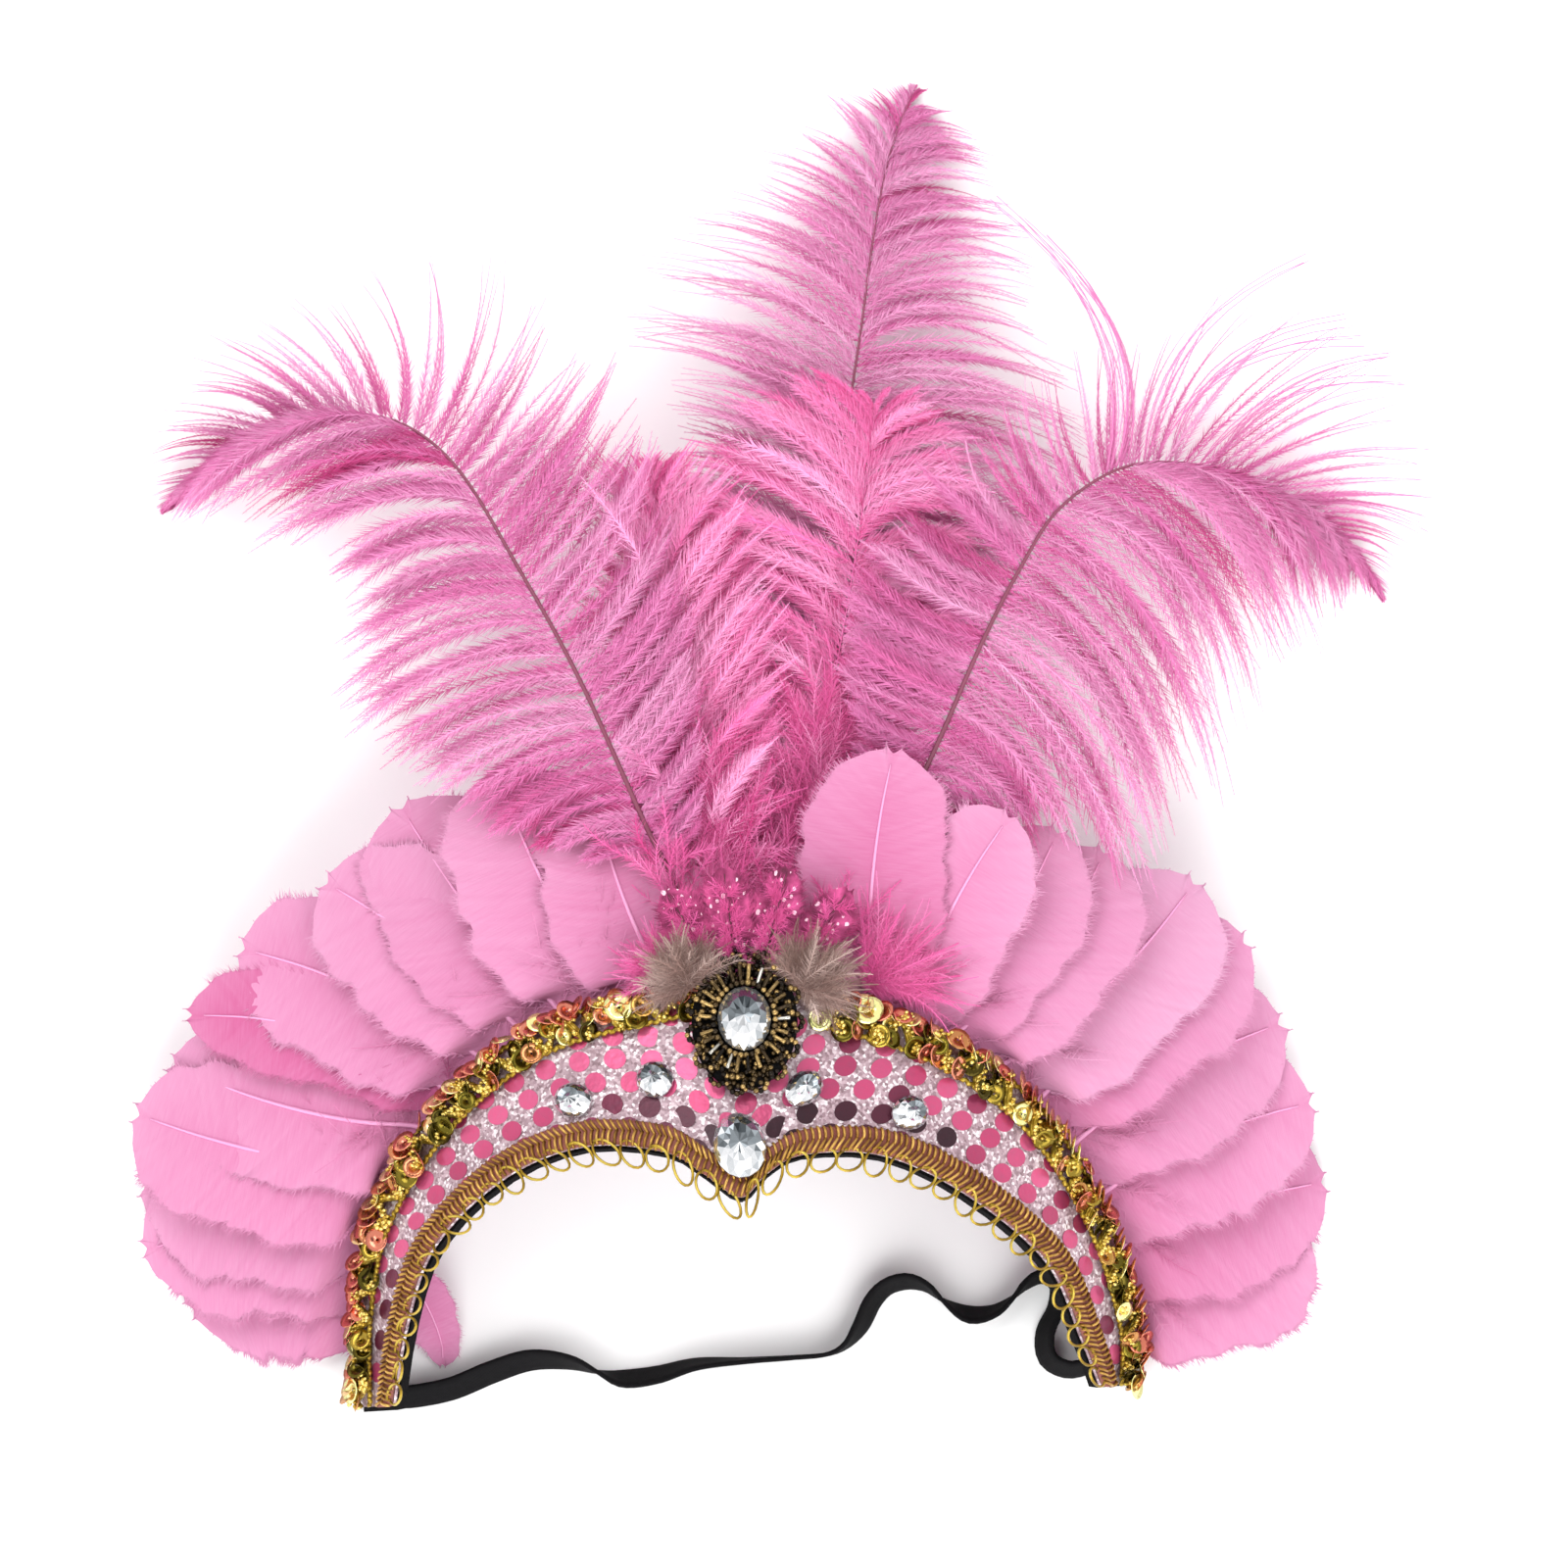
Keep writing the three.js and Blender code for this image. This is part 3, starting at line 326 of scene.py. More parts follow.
class Look:
    """A material with a Principled shader, and short ways to add the nodes in front of it."""

    def __init__(self, name, roughness=0.5, metallic=0.0, **sockets):
        self.material = bpy.data.materials.new(name)
        self.material.use_nodes = True
        self.tree = self.material.node_tree
        self.shader = self.tree.nodes["Principled BSDF"]
        self.set(Roughness=roughness, Metallic=metallic, **sockets)

    def set(self, **sockets):
        for socket, value in sockets.items():
            self.shader.inputs[socket.replace("_", " ")].default_value = value

    def node(self, kind, inputs=(), **settings):
        node = self.tree.nodes.new(kind)
        for key, value in settings.items():
            setattr(node, key, value)
        for socket, value in dict(inputs).items():
            if isinstance(value, bpy.types.NodeSocket):
                self.tree.links.new(value, node.inputs[socket])
            else:
                node.inputs[socket].default_value = value
        return node

    def link(self, socket, output):
        self.tree.links.new(output, self.shader.inputs[socket])

    def place(self):
        return self.node("ShaderNodeTexCoord").outputs["Object"]

    def flat(self):
        return self.node("ShaderNodeUVMap", uv_map="flat").outputs["UV"]

    def tint(self):
        return self.node("ShaderNodeAttribute", attribute_name="tint").outputs["Fac"]

    def noise(self, scale, detail=2.0, vector=None):
        inputs = {"Vector": vector or self.place(), "Scale": scale, "Detail": detail}
        return self.node("ShaderNodeTexNoise", inputs).outputs["Fac"]

    def math(self, operation, a, b=0.5, c=0.5):
        return self.node("ShaderNodeMath", {0: a, 1: b, 2: c}, operation=operation).outputs[0]

    def spread(self, value, size):
        """A noise from 0 to 1 as a change of this size, half of it down and half up."""
        return self.math("MULTIPLY_ADD", value, size, -size / 2)

    def ramp(self, value, *stops):
        node = self.node("ShaderNodeValToRGB", {"Fac": value})
        elements = node.color_ramp.elements
        while len(elements) < len(stops):
            elements.new(0.5)
        for element, (place, colour) in zip(elements, stops):
            element.position = place
            element.color = srgb(*colour)
        return node.outputs["Color"]

    def mix(self, factor, a, b, blend="MIX"):
        node = self.node("ShaderNodeMix", data_type="RGBA", blend_type=blend)
        for socket, value in ((node.inputs[0], factor), (node.inputs[6], a), (node.inputs[7], b)):
            if isinstance(value, bpy.types.NodeSocket):
                self.tree.links.new(value, socket)
            else:
                socket.default_value = value
        return node.outputs[2]

    def bump(self, height, distance, strength=1.0):
        node = self.node("ShaderNodeBump", {"Height": height, "Distance": distance, "Strength": strength})
        self.link("Normal", node.outputs["Normal"])


def feather_look(name, dark, middle, light, roughness=0.8, patches=0.25, sheen=0.25):
    """Feather colour from the tint at each point, with soft patches where the dye took differently."""
    look = Look(name, roughness, Specular_IOR_Level=0.25, Sheen_Weight=sheen, Sheen_Roughness=0.5)
    look.set(Sheen_Tint=srgb(*light))
    value = look.math("ADD", look.tint(), look.spread(look.noise(45, 3.0), patches))
    look.link("Base Color", look.ramp(value, (0.05, dark), (0.5, middle), (0.95, light)))
    return look.material


PLUME_LOOK = feather_look("ostrich_plume", (200, 72, 134), (214, 117, 173), (225, 160, 198), sheen=0.1)
FRONT_LOOK = feather_look("deep_ostrich_plume", (224, 64, 136), (235, 116, 179), (242, 164, 208), sheen=0.1)
DOWN_LOOK = feather_look("deep_pink_down", (192, 52, 118), (218, 94, 156), (236, 150, 196))
MARABOU_LOOK = feather_look("grey_marabou", (70, 48, 42), (140, 110, 102), (216, 192, 184), 0.85, 0.35)
QUILL_LOOK = feather_look("quill", (84, 44, 54), (140, 74, 98), (206, 112, 158), 0.45, 0.2, 0.0)
FLAT_QUILL_LOOK = feather_look("pale_quill", (214, 120, 172), (232, 158, 200), (244, 196, 222), 0.5, 0.2, 0.0)


def vane_look():
    """Feather colour with fine streaks that follow the barbs, read from the vane's flat coordinates in mm."""
    look = Look("goose_feather", 0.85, Specular_IOR_Level=0.12)
    along_barbs = {"Vector": look.flat(), "Scale": (2.2, 0.16, 1.0)}
    streaks = look.noise(1.0, 3.0, look.node("ShaderNodeMapping", along_barbs).outputs["Vector"])
    soft = look.math("ADD", look.tint(), look.spread(look.noise(28, 2.0), 0.3))
    value = look.math("ADD", look.spread(streaks, 0.3), soft)
    colour = look.ramp(value, (0.05, (184, 90, 135)), (0.5, (198, 127, 164)), (0.95, (208, 153, 184)))
    look.link("Base Color", colour)
    look.bump(streaks, 0.00008)
    return look.material


# The guinea feather's spots: their rows and columns in mm, their size, and where patches have none
SPOT_ROW = 1.6
SPOT_COLUMN = 2.1
SPOT_SIZE = 0.24
SPOTLESS = 0.53


def guinea_look():
    """Pale round spots in staggered rows on a dark pink vane, read from the vane's flat coordinates in mm."""
    look = Look("guinea_feather", 0.75, Specular_IOR_Level=0.3)
    split = look.node("ShaderNodeSeparateXYZ", {0: look.flat()})
    row = look.math("DIVIDE", split.outputs["Y"], SPOT_ROW)
    shifted = look.math("MULTIPLY", look.math("MODULO", look.math("FLOOR", row), 2.0), 0.5)
    column = look.math("ADD", look.math("DIVIDE", split.outputs["X"], SPOT_COLUMN), shifted)
    x = look.math("SUBTRACT", look.math("FRACT", column), 0.5)
    y = look.math("SUBTRACT", look.math("FRACT", row), 0.5)
    away = look.math("SQRT", look.math("ADD", look.math("MULTIPLY", x, x), look.math("MULTIPLY", y, y)))
    wobble = look.math("MULTIPLY_ADD", look.noise(420, 3), 1.3, -0.54)
    bare = look.math("GREATER_THAN", look.noise(190, 1), SPOTLESS)
    spot = look.math("LESS_THAN", look.math("ADD", look.math("ADD", away, wobble), bare), SPOT_SIZE)
    value = look.math("ADD", look.tint(), look.spread(look.noise(240, 3), 1.4))
    ground = look.ramp(value, (0.15, (58, 20, 34)), (0.5, (132, 42, 84)), (0.85, (206, 82, 140)))
    look.link("Base Color", look.mix(spot, ground, srgb(246, 206, 222)))
    return look.material


def felt_look():
    """Black felt with a fine nap."""
    look = Look("black_felt", 0.95, Specular_IOR_Level=0.1)
    look.link("Base Color", look.ramp(look.noise(2500, 3), (0.3, (8, 8, 8)), (0.7, (26, 24, 26))))
    look.bump(look.noise(4000, 4), 0.0002)
    return look.material


def glitter_look():
    """Pale cloth with flakes of glitter: small cells with their own shade, roughness and slope."""
    look = Look("glitter_cloth", 0.5, 0.15)
    cells = look.node("ShaderNodeTexVoronoi", {"Vector": look.place(), "Scale": 1500})
    flake_shade, flake_roughness, flake_slope = look.node(
        "ShaderNodeSeparateColor", {0: cells.outputs["Color"]}).outputs
    shade = look.ramp(flake_shade, (0.0, (92, 70, 74)), (0.25, (142, 118, 126)), (0.7, (190, 166, 174)),
                      (0.95, (255, 250, 252)))
    look.link("Base Color", look.mix(0.3, shade, srgb(184, 150, 160)))
    look.link("Roughness", look.math("MULTIPLY_ADD", flake_roughness, 0.5, 0.2))
    look.bump(flake_slope, 0.00012)
    return look.material


def foil_look():
    """Creased foil, from dark to pink with the tint of each dot; the dark end carries a painted reflection on
    the dots in the middle.
    """
    look = Look("pink_foil_dots", 0.34, 0.45)
    shade = look.ramp(look.tint(), (0.0, (44, 22, 32)), (0.4, (96, 42, 64)), (0.75, (168, 70, 106)),
                      (1.0, (198, 98, 134)))
    look.link("Base Color", look.mix(look.noise(700, 2), shade, srgb(226, 160, 184), "SOFT_LIGHT"))
    look.bump(look.noise(420, 2), 0.0002)
    return look.material


def metal_look(name, dark, middle, light, roughness, metallic):
    """Small metal parts, from dark to light with their tint, with a fine grain."""
    look = Look(name, roughness, metallic)
    value = look.math("ADD", look.tint(), look.spread(look.noise(1500, 3), 0.3))
    look.link("Base Color", look.ramp(value, (0.08, dark), (0.5, middle), (0.92, light)))
    look.bump(look.noise(3000, 3), 0.00005)
    return look.material


def sequin_look():
    """Thin coated film: gold that turns coral, olive or pale from one sequin to the next."""
    look = Look("cup_sequins", 0.18, 0.9)
    colours = look.ramp(look.tint(), (0.0, (60, 50, 16)), (0.2, (110, 98, 30)), (0.4, (168, 140, 56)),
                        (0.58, (206, 118, 96)), (0.8, (216, 138, 112)), (0.97, (240, 236, 160)))
    look.link("Base Color", colours)
    look.bump(look.noise(900, 2), 0.00006)
    return look.material


def stone_look():
    """Cut glass on foil, from dark to bright with the tint of each facet, which holds a painted reflection.
    """
    look = Look("foil_backed_stone", 0.04, 0.88, Coat_Weight=0.6, Coat_Roughness=0.02)
    shade = look.ramp(look.tint(), (0.0, (52, 58, 62)), (0.45, (150, 158, 164)), (1.0, (240, 240, 242)))
    look.link("Base Color", shade)
    return look.material


# How far apart the elastic's ribs and picks lie, in mm
RIB_PITCH = 0.62
PICK_PITCH = 0.45


def strap_look():
    """Woven elastic: fine ribs along it and picks across, read from its flat coordinates in mm."""
    look = Look("black_elastic", 0.8, Specular_IOR_Level=0.12)
    split = look.node("ShaderNodeSeparateXYZ", {0: look.flat()})
    ribs = look.math("SINE", look.math("MULTIPLY", split.outputs["Y"], 2 * math.pi / RIB_PITCH))
    picks = look.math("SINE", look.math("MULTIPLY", split.outputs["X"], 2 * math.pi / PICK_PITCH))
    weave = look.math("MULTIPLY_ADD", look.math("MULTIPLY", ribs, picks), 0.5, 0.5)
    value = look.math("MULTIPLY_ADD", look.noise(900, 2), 0.5, look.math("MULTIPLY", weave, 0.4))
    look.link("Base Color", look.ramp(value, (0.2, (6, 6, 7)), (0.8, (20, 18, 21))))
    look.bump(weave, 0.00008)
    return look.material


FLAT_LOOK = vane_look()
GUINEA_LOOK = guinea_look()
GOLD_BEADS = metal_look("gold_seed_beads", (96, 72, 16), (190, 154, 54), (244, 222, 130), 0.24, 0.75)
GIMP_GOLD = metal_look("gold_gimp_thread", (70, 44, 14), (146, 104, 40), (206, 164, 86), 0.36, 0.7)
GIMP_CORE = metal_look("rose_brown_core", (84, 40, 34), (150, 84, 72), (196, 128, 104), 0.6, 0.15)
LUREX = metal_look("gold_lurex", (72, 52, 10), (158, 128, 32), (214, 190, 84), 0.36, 0.7)
BRONZE = metal_look("bronze_beads", (26, 20, 14), (78, 62, 38), (176, 146, 92), 0.22, 0.75)
SILVER = metal_look("silver_bugle_beads", (110, 106, 98), (190, 186, 176), (246, 244, 238), 0.2, 0.85)
SEQUINS = sequin_look()
FELT = felt_look()
GLITTER = glitter_look()
FOIL = foil_look()
STONE = stone_look()
STRAP_LOOK = strap_look()


# Elastic strap: x, y and how many degrees it is turned up on its edge there
STRAP = [
    [-89.3, -138.4, 48], [-84.0, -138.4, 44], [-75.0, -136.6, 44], [-66.0, -132.9, 45], [-57.2, -130.2, 50],
    [-48.4, -130.7, 66], [-41.8, -133.0, 90], [-36.3, -134.4, 118], [-28.6, -133.5, 118],
    [-19.8, -131.1, 106], [-8.8, -130.3, 94], [2.2, -129.6, 90], [9.6, -128.9, 88], [14.0, -126.8, 80],
    [17.4, -122.4, 62],
    [20.0, -117.0, 58], [23.3, -113.6, 60], [27.9, -112.4, 62], [32.3, -113.7, 76], [36.3, -117.0, 92],
    [41.8, -119.9, 118], [47.3, -119.2, 108], [51.4, -116.4, 92], [54.6, -113.2, 76], [58.2, -111.3, 66],
    [61.4, -113.3, 70], [61.4, -118.4, 64], [59.0, -124.2, 58], [59.6, -129.8, 56], [64.0, -132.3, 58],
    [69.0, -131.6, 62], [74.3, -130.9, 66],
]
STRAP_WIDTH = 7.0
STRAP_THICK = 1.0
STRAP_CLEARANCE = 0.2
STRAP_STEPS = 130
# The section, as shares of half the width and of half the thickness
STRAP_SECTION = [(-1, -0.3), (-0.94, -1), (-0.5, -1), (0, -1), (0.5, -1), (0.94, -1), (1, -0.3),
                 (1, 0.3), (0.94, 1), (0.5, 1), (0, 1), (-0.5, 1), (-0.94, 1), (-1, 0.3)]


def make_strap():
    """The elastic as a closed solid along its route."""
    places, walked = even_places([[x, y, 0] for x, y, _ in STRAP], STRAP_STEPS)
    rows = curve(STRAP, places)
    tangent = unit(np.gradient(np.column_stack([rows[:, :2], np.zeros(STRAP_STEPS)]), axis=0))
    side = np.cross(UP, tangent)
    tilt = np.radians(rows[:, 2])[:, None]
    across = side * np.cos(tilt) + UP * np.sin(tilt)
    through = UP * np.cos(tilt) - side * np.sin(tilt)
    height = (STRAP_WIDTH * np.abs(np.sin(tilt)) + STRAP_THICK * np.abs(np.cos(tilt))) / 2
    middle = np.column_stack([rows[:, :2], height[:, 0] + STRAP_CLEARANCE])
    wide, thick = np.array(STRAP_SECTION).T * np.array([[STRAP_WIDTH], [STRAP_THICK]]) / 2
    points = middle[:, None] + across[:, None] * wide[:, None] + through[:, None] * thick[:, None]
    flat = np.stack(np.broadcast_arrays(walked[:, None], wide[None, :]), -1)
    shape = Shape()
    shape.add(points, loft_triangles(STRAP_STEPS, len(STRAP_SECTION)), 0.5, flat)
    piece = shape.make("strap_elastic", [STRAP_LOOK])
    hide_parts("elastic_strap")


make_strap()


# Ostrich plumes: the place of the root along the band, then points of the quill from there to its tip
QUILL_SEAT = 8
QUILL_LEAD = 1
QUILL_RADIUS = 1.0
QUILLS_BEHIND = -BASE_THICK - 2.2 * GAP - QUILL_RADIUS
QUILL_STEPS = 90
PLUMES = {
    "plume_left": (5.6, [
        [-24.0, -24.0, 52.0], [-31.0, -9.0, 51.0], [-46.0, 24.0, 49.5], [-59.5, 48.5, 45.5],
        [-73.0, 70.5, 39.0], [-86.0, 81.0, 31.0], [-100.0, 83.0, 22.0], [-115.0, 79.0, 11.5],
        [-129.0, 69.5, 4.2], [-138.5, 62.0, 1.3]]),
    "plume_front_left": (6.2, [
        [-14.0, -30.0, 45.5], [-16.0, -16.0, 44.0], [-20.5, 10.0, 43.0], [-25.0, 34.0, 41.5],
        [-28.0, 54.0, 39.5], [-30.0, 70.0, 37.0]]),
    "plume_centre": (6.85, [
        [-8.5, -24.0, 38.0], [1.0, 10.0, 29.5], [7.5, 45.0, 27.0], [12.5, 72.0, 23.0], [17.0, 100.0, 16.5],
        [19.8, 121.0, 10.5], [22.2, 135.0, 5.8], [25.5, 147.5, 2.8], [29.5, 157.0, 1.3]]),
    "plume_front_right": (7.45, [
        [0.5, -28.0, 41.0], [5.0, -10.0, 37.6], [11.0, 22.0, 36.5], [15.5, 48.0, 34.0], [18.5, 68.0, 31.0],
        [20.5, 84.0, 27.5]]),
    "plume_right": (8.1, [
        [14.0, -29.0, 47.8], [31.0, 2.0, 46.0], [44.0, 31.0, 43.5], [53.0, 48.5, 39.0], [61.5, 61.5, 33.0],
        [74.5, 70.5, 25.5], [88.0, 72.5, 18.5], [105.5, 69.0, 10.5], [121.0, 59.5, 4.6],
        [134.5, 42.5, 1.3]]),
}
# Where barbs leave the quill and where they end, in pixels of the photograph: root x, root y, tip x, tip y
BARBS = {
    "plume_left": {
        "left": [
            [672, 870, 610, 880], [640, 800, 520, 850], [610, 730, 430, 800], [590, 690, 388, 760],
            [560, 635, 363, 705], [540, 600, 358, 655], [520, 560, 365, 600], [500, 530, 325, 575],
            [480, 495, 265, 549], [455, 465, 262, 541], [435, 448, 330, 505], [400, 432, 215, 516],
            [350, 423, 200, 518], [300, 430, 192, 520], [250, 455, 172, 512], [210, 485, 164, 519],
            [168, 518, 160, 522]],
        "right": [
            [676, 875, 720, 830], [650, 825, 712, 750], [620, 750, 705, 640], [590, 690, 692, 560],
            [560, 635, 672, 480], [530, 580, 645, 430], [500, 530, 612, 390], [480, 495, 580, 355],
            [460, 470, 548, 312], [445, 453, 500, 270], [425, 440, 430, 280], [400, 430, 345, 288],
            [370, 424, 282, 318], [340, 423, 235, 345], [310, 428, 196, 380], [280, 440, 170, 422],
            [250, 455, 160, 458], [215, 482, 157, 492], [185, 505, 157, 512], [168, 518, 156, 520]]},
    "plume_front_left": {
        "left": [
            [733, 920, 690, 865], [727, 873, 640, 790], [715, 800, 606, 690], [707, 755, 588, 630],
            [695, 690, 580, 560], [686, 645, 590, 505], [678, 590, 610, 480], [670, 530, 640, 468],
            [665, 488, 656, 464]],
        "right": [
            [733, 920, 765, 850], [727, 873, 795, 765], [715, 800, 803, 680], [707, 755, 803, 620],
            [695, 690, 795, 560], [686, 645, 770, 510], [678, 590, 742, 480], [670, 530, 702, 464],
            [665, 488, 674, 463]]},
    "plume_centre": {
        "left": [
            [780, 860, 735, 790], [795, 790, 730, 710], [805, 740, 715, 655], [815, 690, 695, 600],
            [830, 610, 685, 530], [843, 545, 680, 480], [850, 500, 690, 425], [858, 460, 705, 385],
            [865, 420, 665, 330], [872, 380, 662, 300], [880, 340, 690, 262], [888, 290, 738, 214],
            [893, 260, 780, 182], [898, 220, 800, 148], [905, 185, 838, 104], [915, 145, 868, 90],
            [925, 115, 905, 84], [933, 92, 930, 78]],
        "right": [
            [780, 860, 860, 810], [795, 790, 890, 760], [805, 740, 930, 735], [815, 690, 985, 690],
            [830, 610, 1030, 645], [843, 545, 1070, 590], [850, 500, 1098, 545], [858, 460, 1110, 500],
            [865, 420, 1104, 452], [872, 380, 1095, 405], [880, 340, 1062, 345], [886, 300, 1050, 285],
            [892, 265, 1044, 238], [898, 220, 1000, 205], [905, 180, 1014, 158], [914, 145, 1003, 146],
            [924, 118, 962, 104], [933, 92, 938, 80]]},
    "plume_front_right": {
        "left": [
            [805, 915, 752, 860], [823, 845, 735, 765], [840, 760, 718, 690], [850, 700, 703, 625],
            [860, 640, 698, 560], [870, 582, 708, 500], [878, 530, 730, 445], [884, 491, 772, 402],
            [890, 445, 832, 388], [893, 420, 882, 396]],
        "right": [
            [805, 915, 858, 865], [823, 845, 905, 785], [840, 760, 948, 730], [850, 700, 975, 670],
            [860, 640, 1000, 620], [870, 582, 1012, 566], [878, 530, 1012, 505], [884, 491, 992, 452],
            [890, 445, 942, 402], [893, 420, 905, 396]]},
    "plume_right": {
        "left": [
            [930, 820, 880, 790], [955, 765, 862, 720], [985, 700, 860, 640], [1000, 660, 872, 590],
            [1020, 620, 895, 545], [1040, 580, 932, 495], [1060, 545, 982, 445], [1080, 520, 1030, 410],
            [1100, 500, 1068, 380], [1120, 487, 1105, 362], [1140, 478, 1150, 352], [1160, 475, 1200, 335],
            [1180, 472, 1262, 316], [1200, 470, 1330, 318], [1215, 471, 1382, 332], [1232, 473, 1400, 356],
            [1250, 477, 1432, 388], [1270, 482, 1450, 430], [1295, 495, 1456, 472], [1320, 510, 1456, 518],
            [1345, 528, 1446, 552], [1370, 552, 1430, 580], [1400, 590, 1420, 604]],
        "right": [
            [930, 820, 1000, 850], [955, 765, 1050, 850], [975, 720, 1092, 872], [985, 700, 1130, 895],
            [1000, 660, 1160, 900], [1020, 620, 1182, 838], [1040, 580, 1200, 800], [1060, 545, 1226, 768],
            [1090, 510, 1250, 724], [1120, 487, 1266, 690], [1150, 477, 1302, 664], [1180, 472, 1326, 646],
            [1215, 471, 1334, 630], [1250, 478, 1338, 620], [1285, 488, 1348, 616], [1320, 510, 1370, 606],
            [1350, 532, 1392, 602], [1385, 565, 1412, 608], [1408, 598, 1416, 612]]},
}
# Long single barbs: root x, root y, tip x, tip y in pixels of the photograph, and how far in degrees the
# start turns counter-clockwise from the straight line
WISPS = {
    "plume_right": [
        [1128, 482, 1018, 205, -34], [1132, 481, 1042, 224, -36], [1138, 479, 1062, 240, -34],
        [1142, 478, 1078, 262, -32], [1150, 477, 1100, 285, -30], [1168, 474, 1335, 266, 34],
        [1180, 472, 1388, 348, 40], [1195, 471, 1370, 326, 40], [1225, 472, 1432, 386, 30],
        [1240, 475, 1420, 362, 30]],
}
PHOTO_MIDDLE = 800
MM_PER_PIXEL = 0.22
# How each plume is dressed: the seed of its random draws, barbs on each side, barbules on each barb, how far
# in degrees a barb's start leans on towards the plume's tip, how far in degrees barbs stand above and below
# the quill, how thick the quill is, how much lighter the plume is painted, as painted light that lifts the
# shade among its barbs, to which share of their length barbs are full of barbules near the plume's root and
# near its tip, and how many barbs of down it has at its root.
# Lean and full have a value for the left side and one for the right.
PLUME_DRESS = {
    "plume_left": dict(
        seed=11, barbs=235, barbules=200, lean=(24, -16), spread=7, quill=0.62, light=0.0,
        full=((0.8, 0.7), (0.75, 0.2)), down=16),
    "plume_front_left": dict(
        seed=12, barbs=150, barbules=200, lean=(18, 18), spread=12, quill=0.3, light=0.12,
        full=((0.8, 0.6), (0.8, 0.6)), down=260),
    "plume_centre": dict(
        seed=13, barbs=240, barbules=195, lean=(20, 28), spread=8, quill=0.55, light=0.1,
        full=((0.8, 0.35), (0.85, 0.42)), down=160),
    "plume_front_right": dict(
        seed=14, barbs=160, barbules=205, lean=(22, 26), spread=12, quill=0.3, light=0.12,
        full=((0.85, 0.75), (0.85, 0.75)), down=320),
    "plume_right": dict(
        seed=15, barbs=235, barbules=200, lean=(-14, 26), spread=7, quill=0.62, light=0.0,
        full=((0.8, 0.1), (0.78, 0.62)), down=90),
}
BARB_STEPS = 10
ALONG_BARB = np.linspace(0, 1, BARB_STEPS)
BARBULE_LENGTH = 5.0
BARBULE_WIDTH = 0.4
BARBULE_LEAN = 24
DOWN_STARTS = 1.6
WISP_COPIES = 3
WISP_BARBULES = 220


def from_photo(pixels):
    """Millimetres from the middle of the frame, from pixels of the photograph."""
    pixels = np.asarray(pixels, float)
    return np.stack([pixels[..., 0] - PHOTO_MIDDLE, PHOTO_MIDDLE - pixels[..., 1]], -1) * MM_PER_PIXEL


def turned(vectors, axes, angles):
    """Vectors turned about unit axes by angles in radians."""
    c, s = np.cos(angles)[..., None], np.sin(angles)[..., None]
    on_axis = (axes * vectors).sum(-1, keepdims=True)
    return vectors * c + np.cross(axes, vectors) * s + axes * on_axis * (1 - c)


def add_barbules(shape, rng, paths, normals, count, length, width, angle, tint, full=0.6, slot=0):
    """Fine hairs on both sides of each barb: one thin triangle each, pointing on towards the barb's tip."""
    barbs, steps, _ = paths.shape
    place = (np.arange(count) + rng.random((barbs, count))) / count
    at = np.clip(place * (steps - 1), 0, steps - 1.001)
    low = at.astype(int)
    f = (at - low)[..., None]
    pick = np.arange(barbs)[:, None]
    base = paths[pick, low] * (1 - f) + paths[pick, low + 1] * f
    along = unit(paths[pick, low + 1] - paths[pick, low])
    normal = unit(normals[pick, low])
    hand = np.where(np.arange(count) % 2, 1.0, -1.0)[None, :]
    lean = np.radians(angle) * (0.5 + rng.random((barbs, count)))
    direction = turned(along, normal, hand * lean)
    lift = np.radians(rng.normal(0, 16, (barbs, count)))
    direction = unit(direction + normal * np.tan(lift)[..., None])
    fade = np.clip((1.0 - place) / (1.0 - full), 0.0, 1) ** 1.5 * 0.9 + 0.1
    reach = (length * fade * (0.5 + 0.7 * rng.random((barbs, count))))[..., None]
    half = along * (width * (0.45 + 0.55 * fade)[..., None] / 2)
    tints = np.broadcast_to(tint(place), place.shape)[..., None] + np.array([-0.04, -0.04, 0.08])
    add_thorns(shape, base, half, base + direction * reach, tints.ravel(), slot)


def bent_lines(chord, turn, bend):
    """Flat lines over chords from root to tip. Each sets off at an angle from its chord and bends onto it."""
    c, s = np.cos(turn), np.sin(turn)
    first = np.stack([chord[:, 0] * c - chord[:, 1] * s, chord[:, 0] * s + chord[:, 1] * c], -1) * bend
    t = ALONG_BARB
    return 2 * (t * (1 - t))[None, :, None] * first[:, None] + (t * t)[None, :, None] * chord[:, None]


def nearest_on(line, roots):
    """For each root, the number of the point of the line that lies nearest to it."""
    return np.argmin(((line[None] - roots[:, None]) ** 2).sum(-1), axis=1)


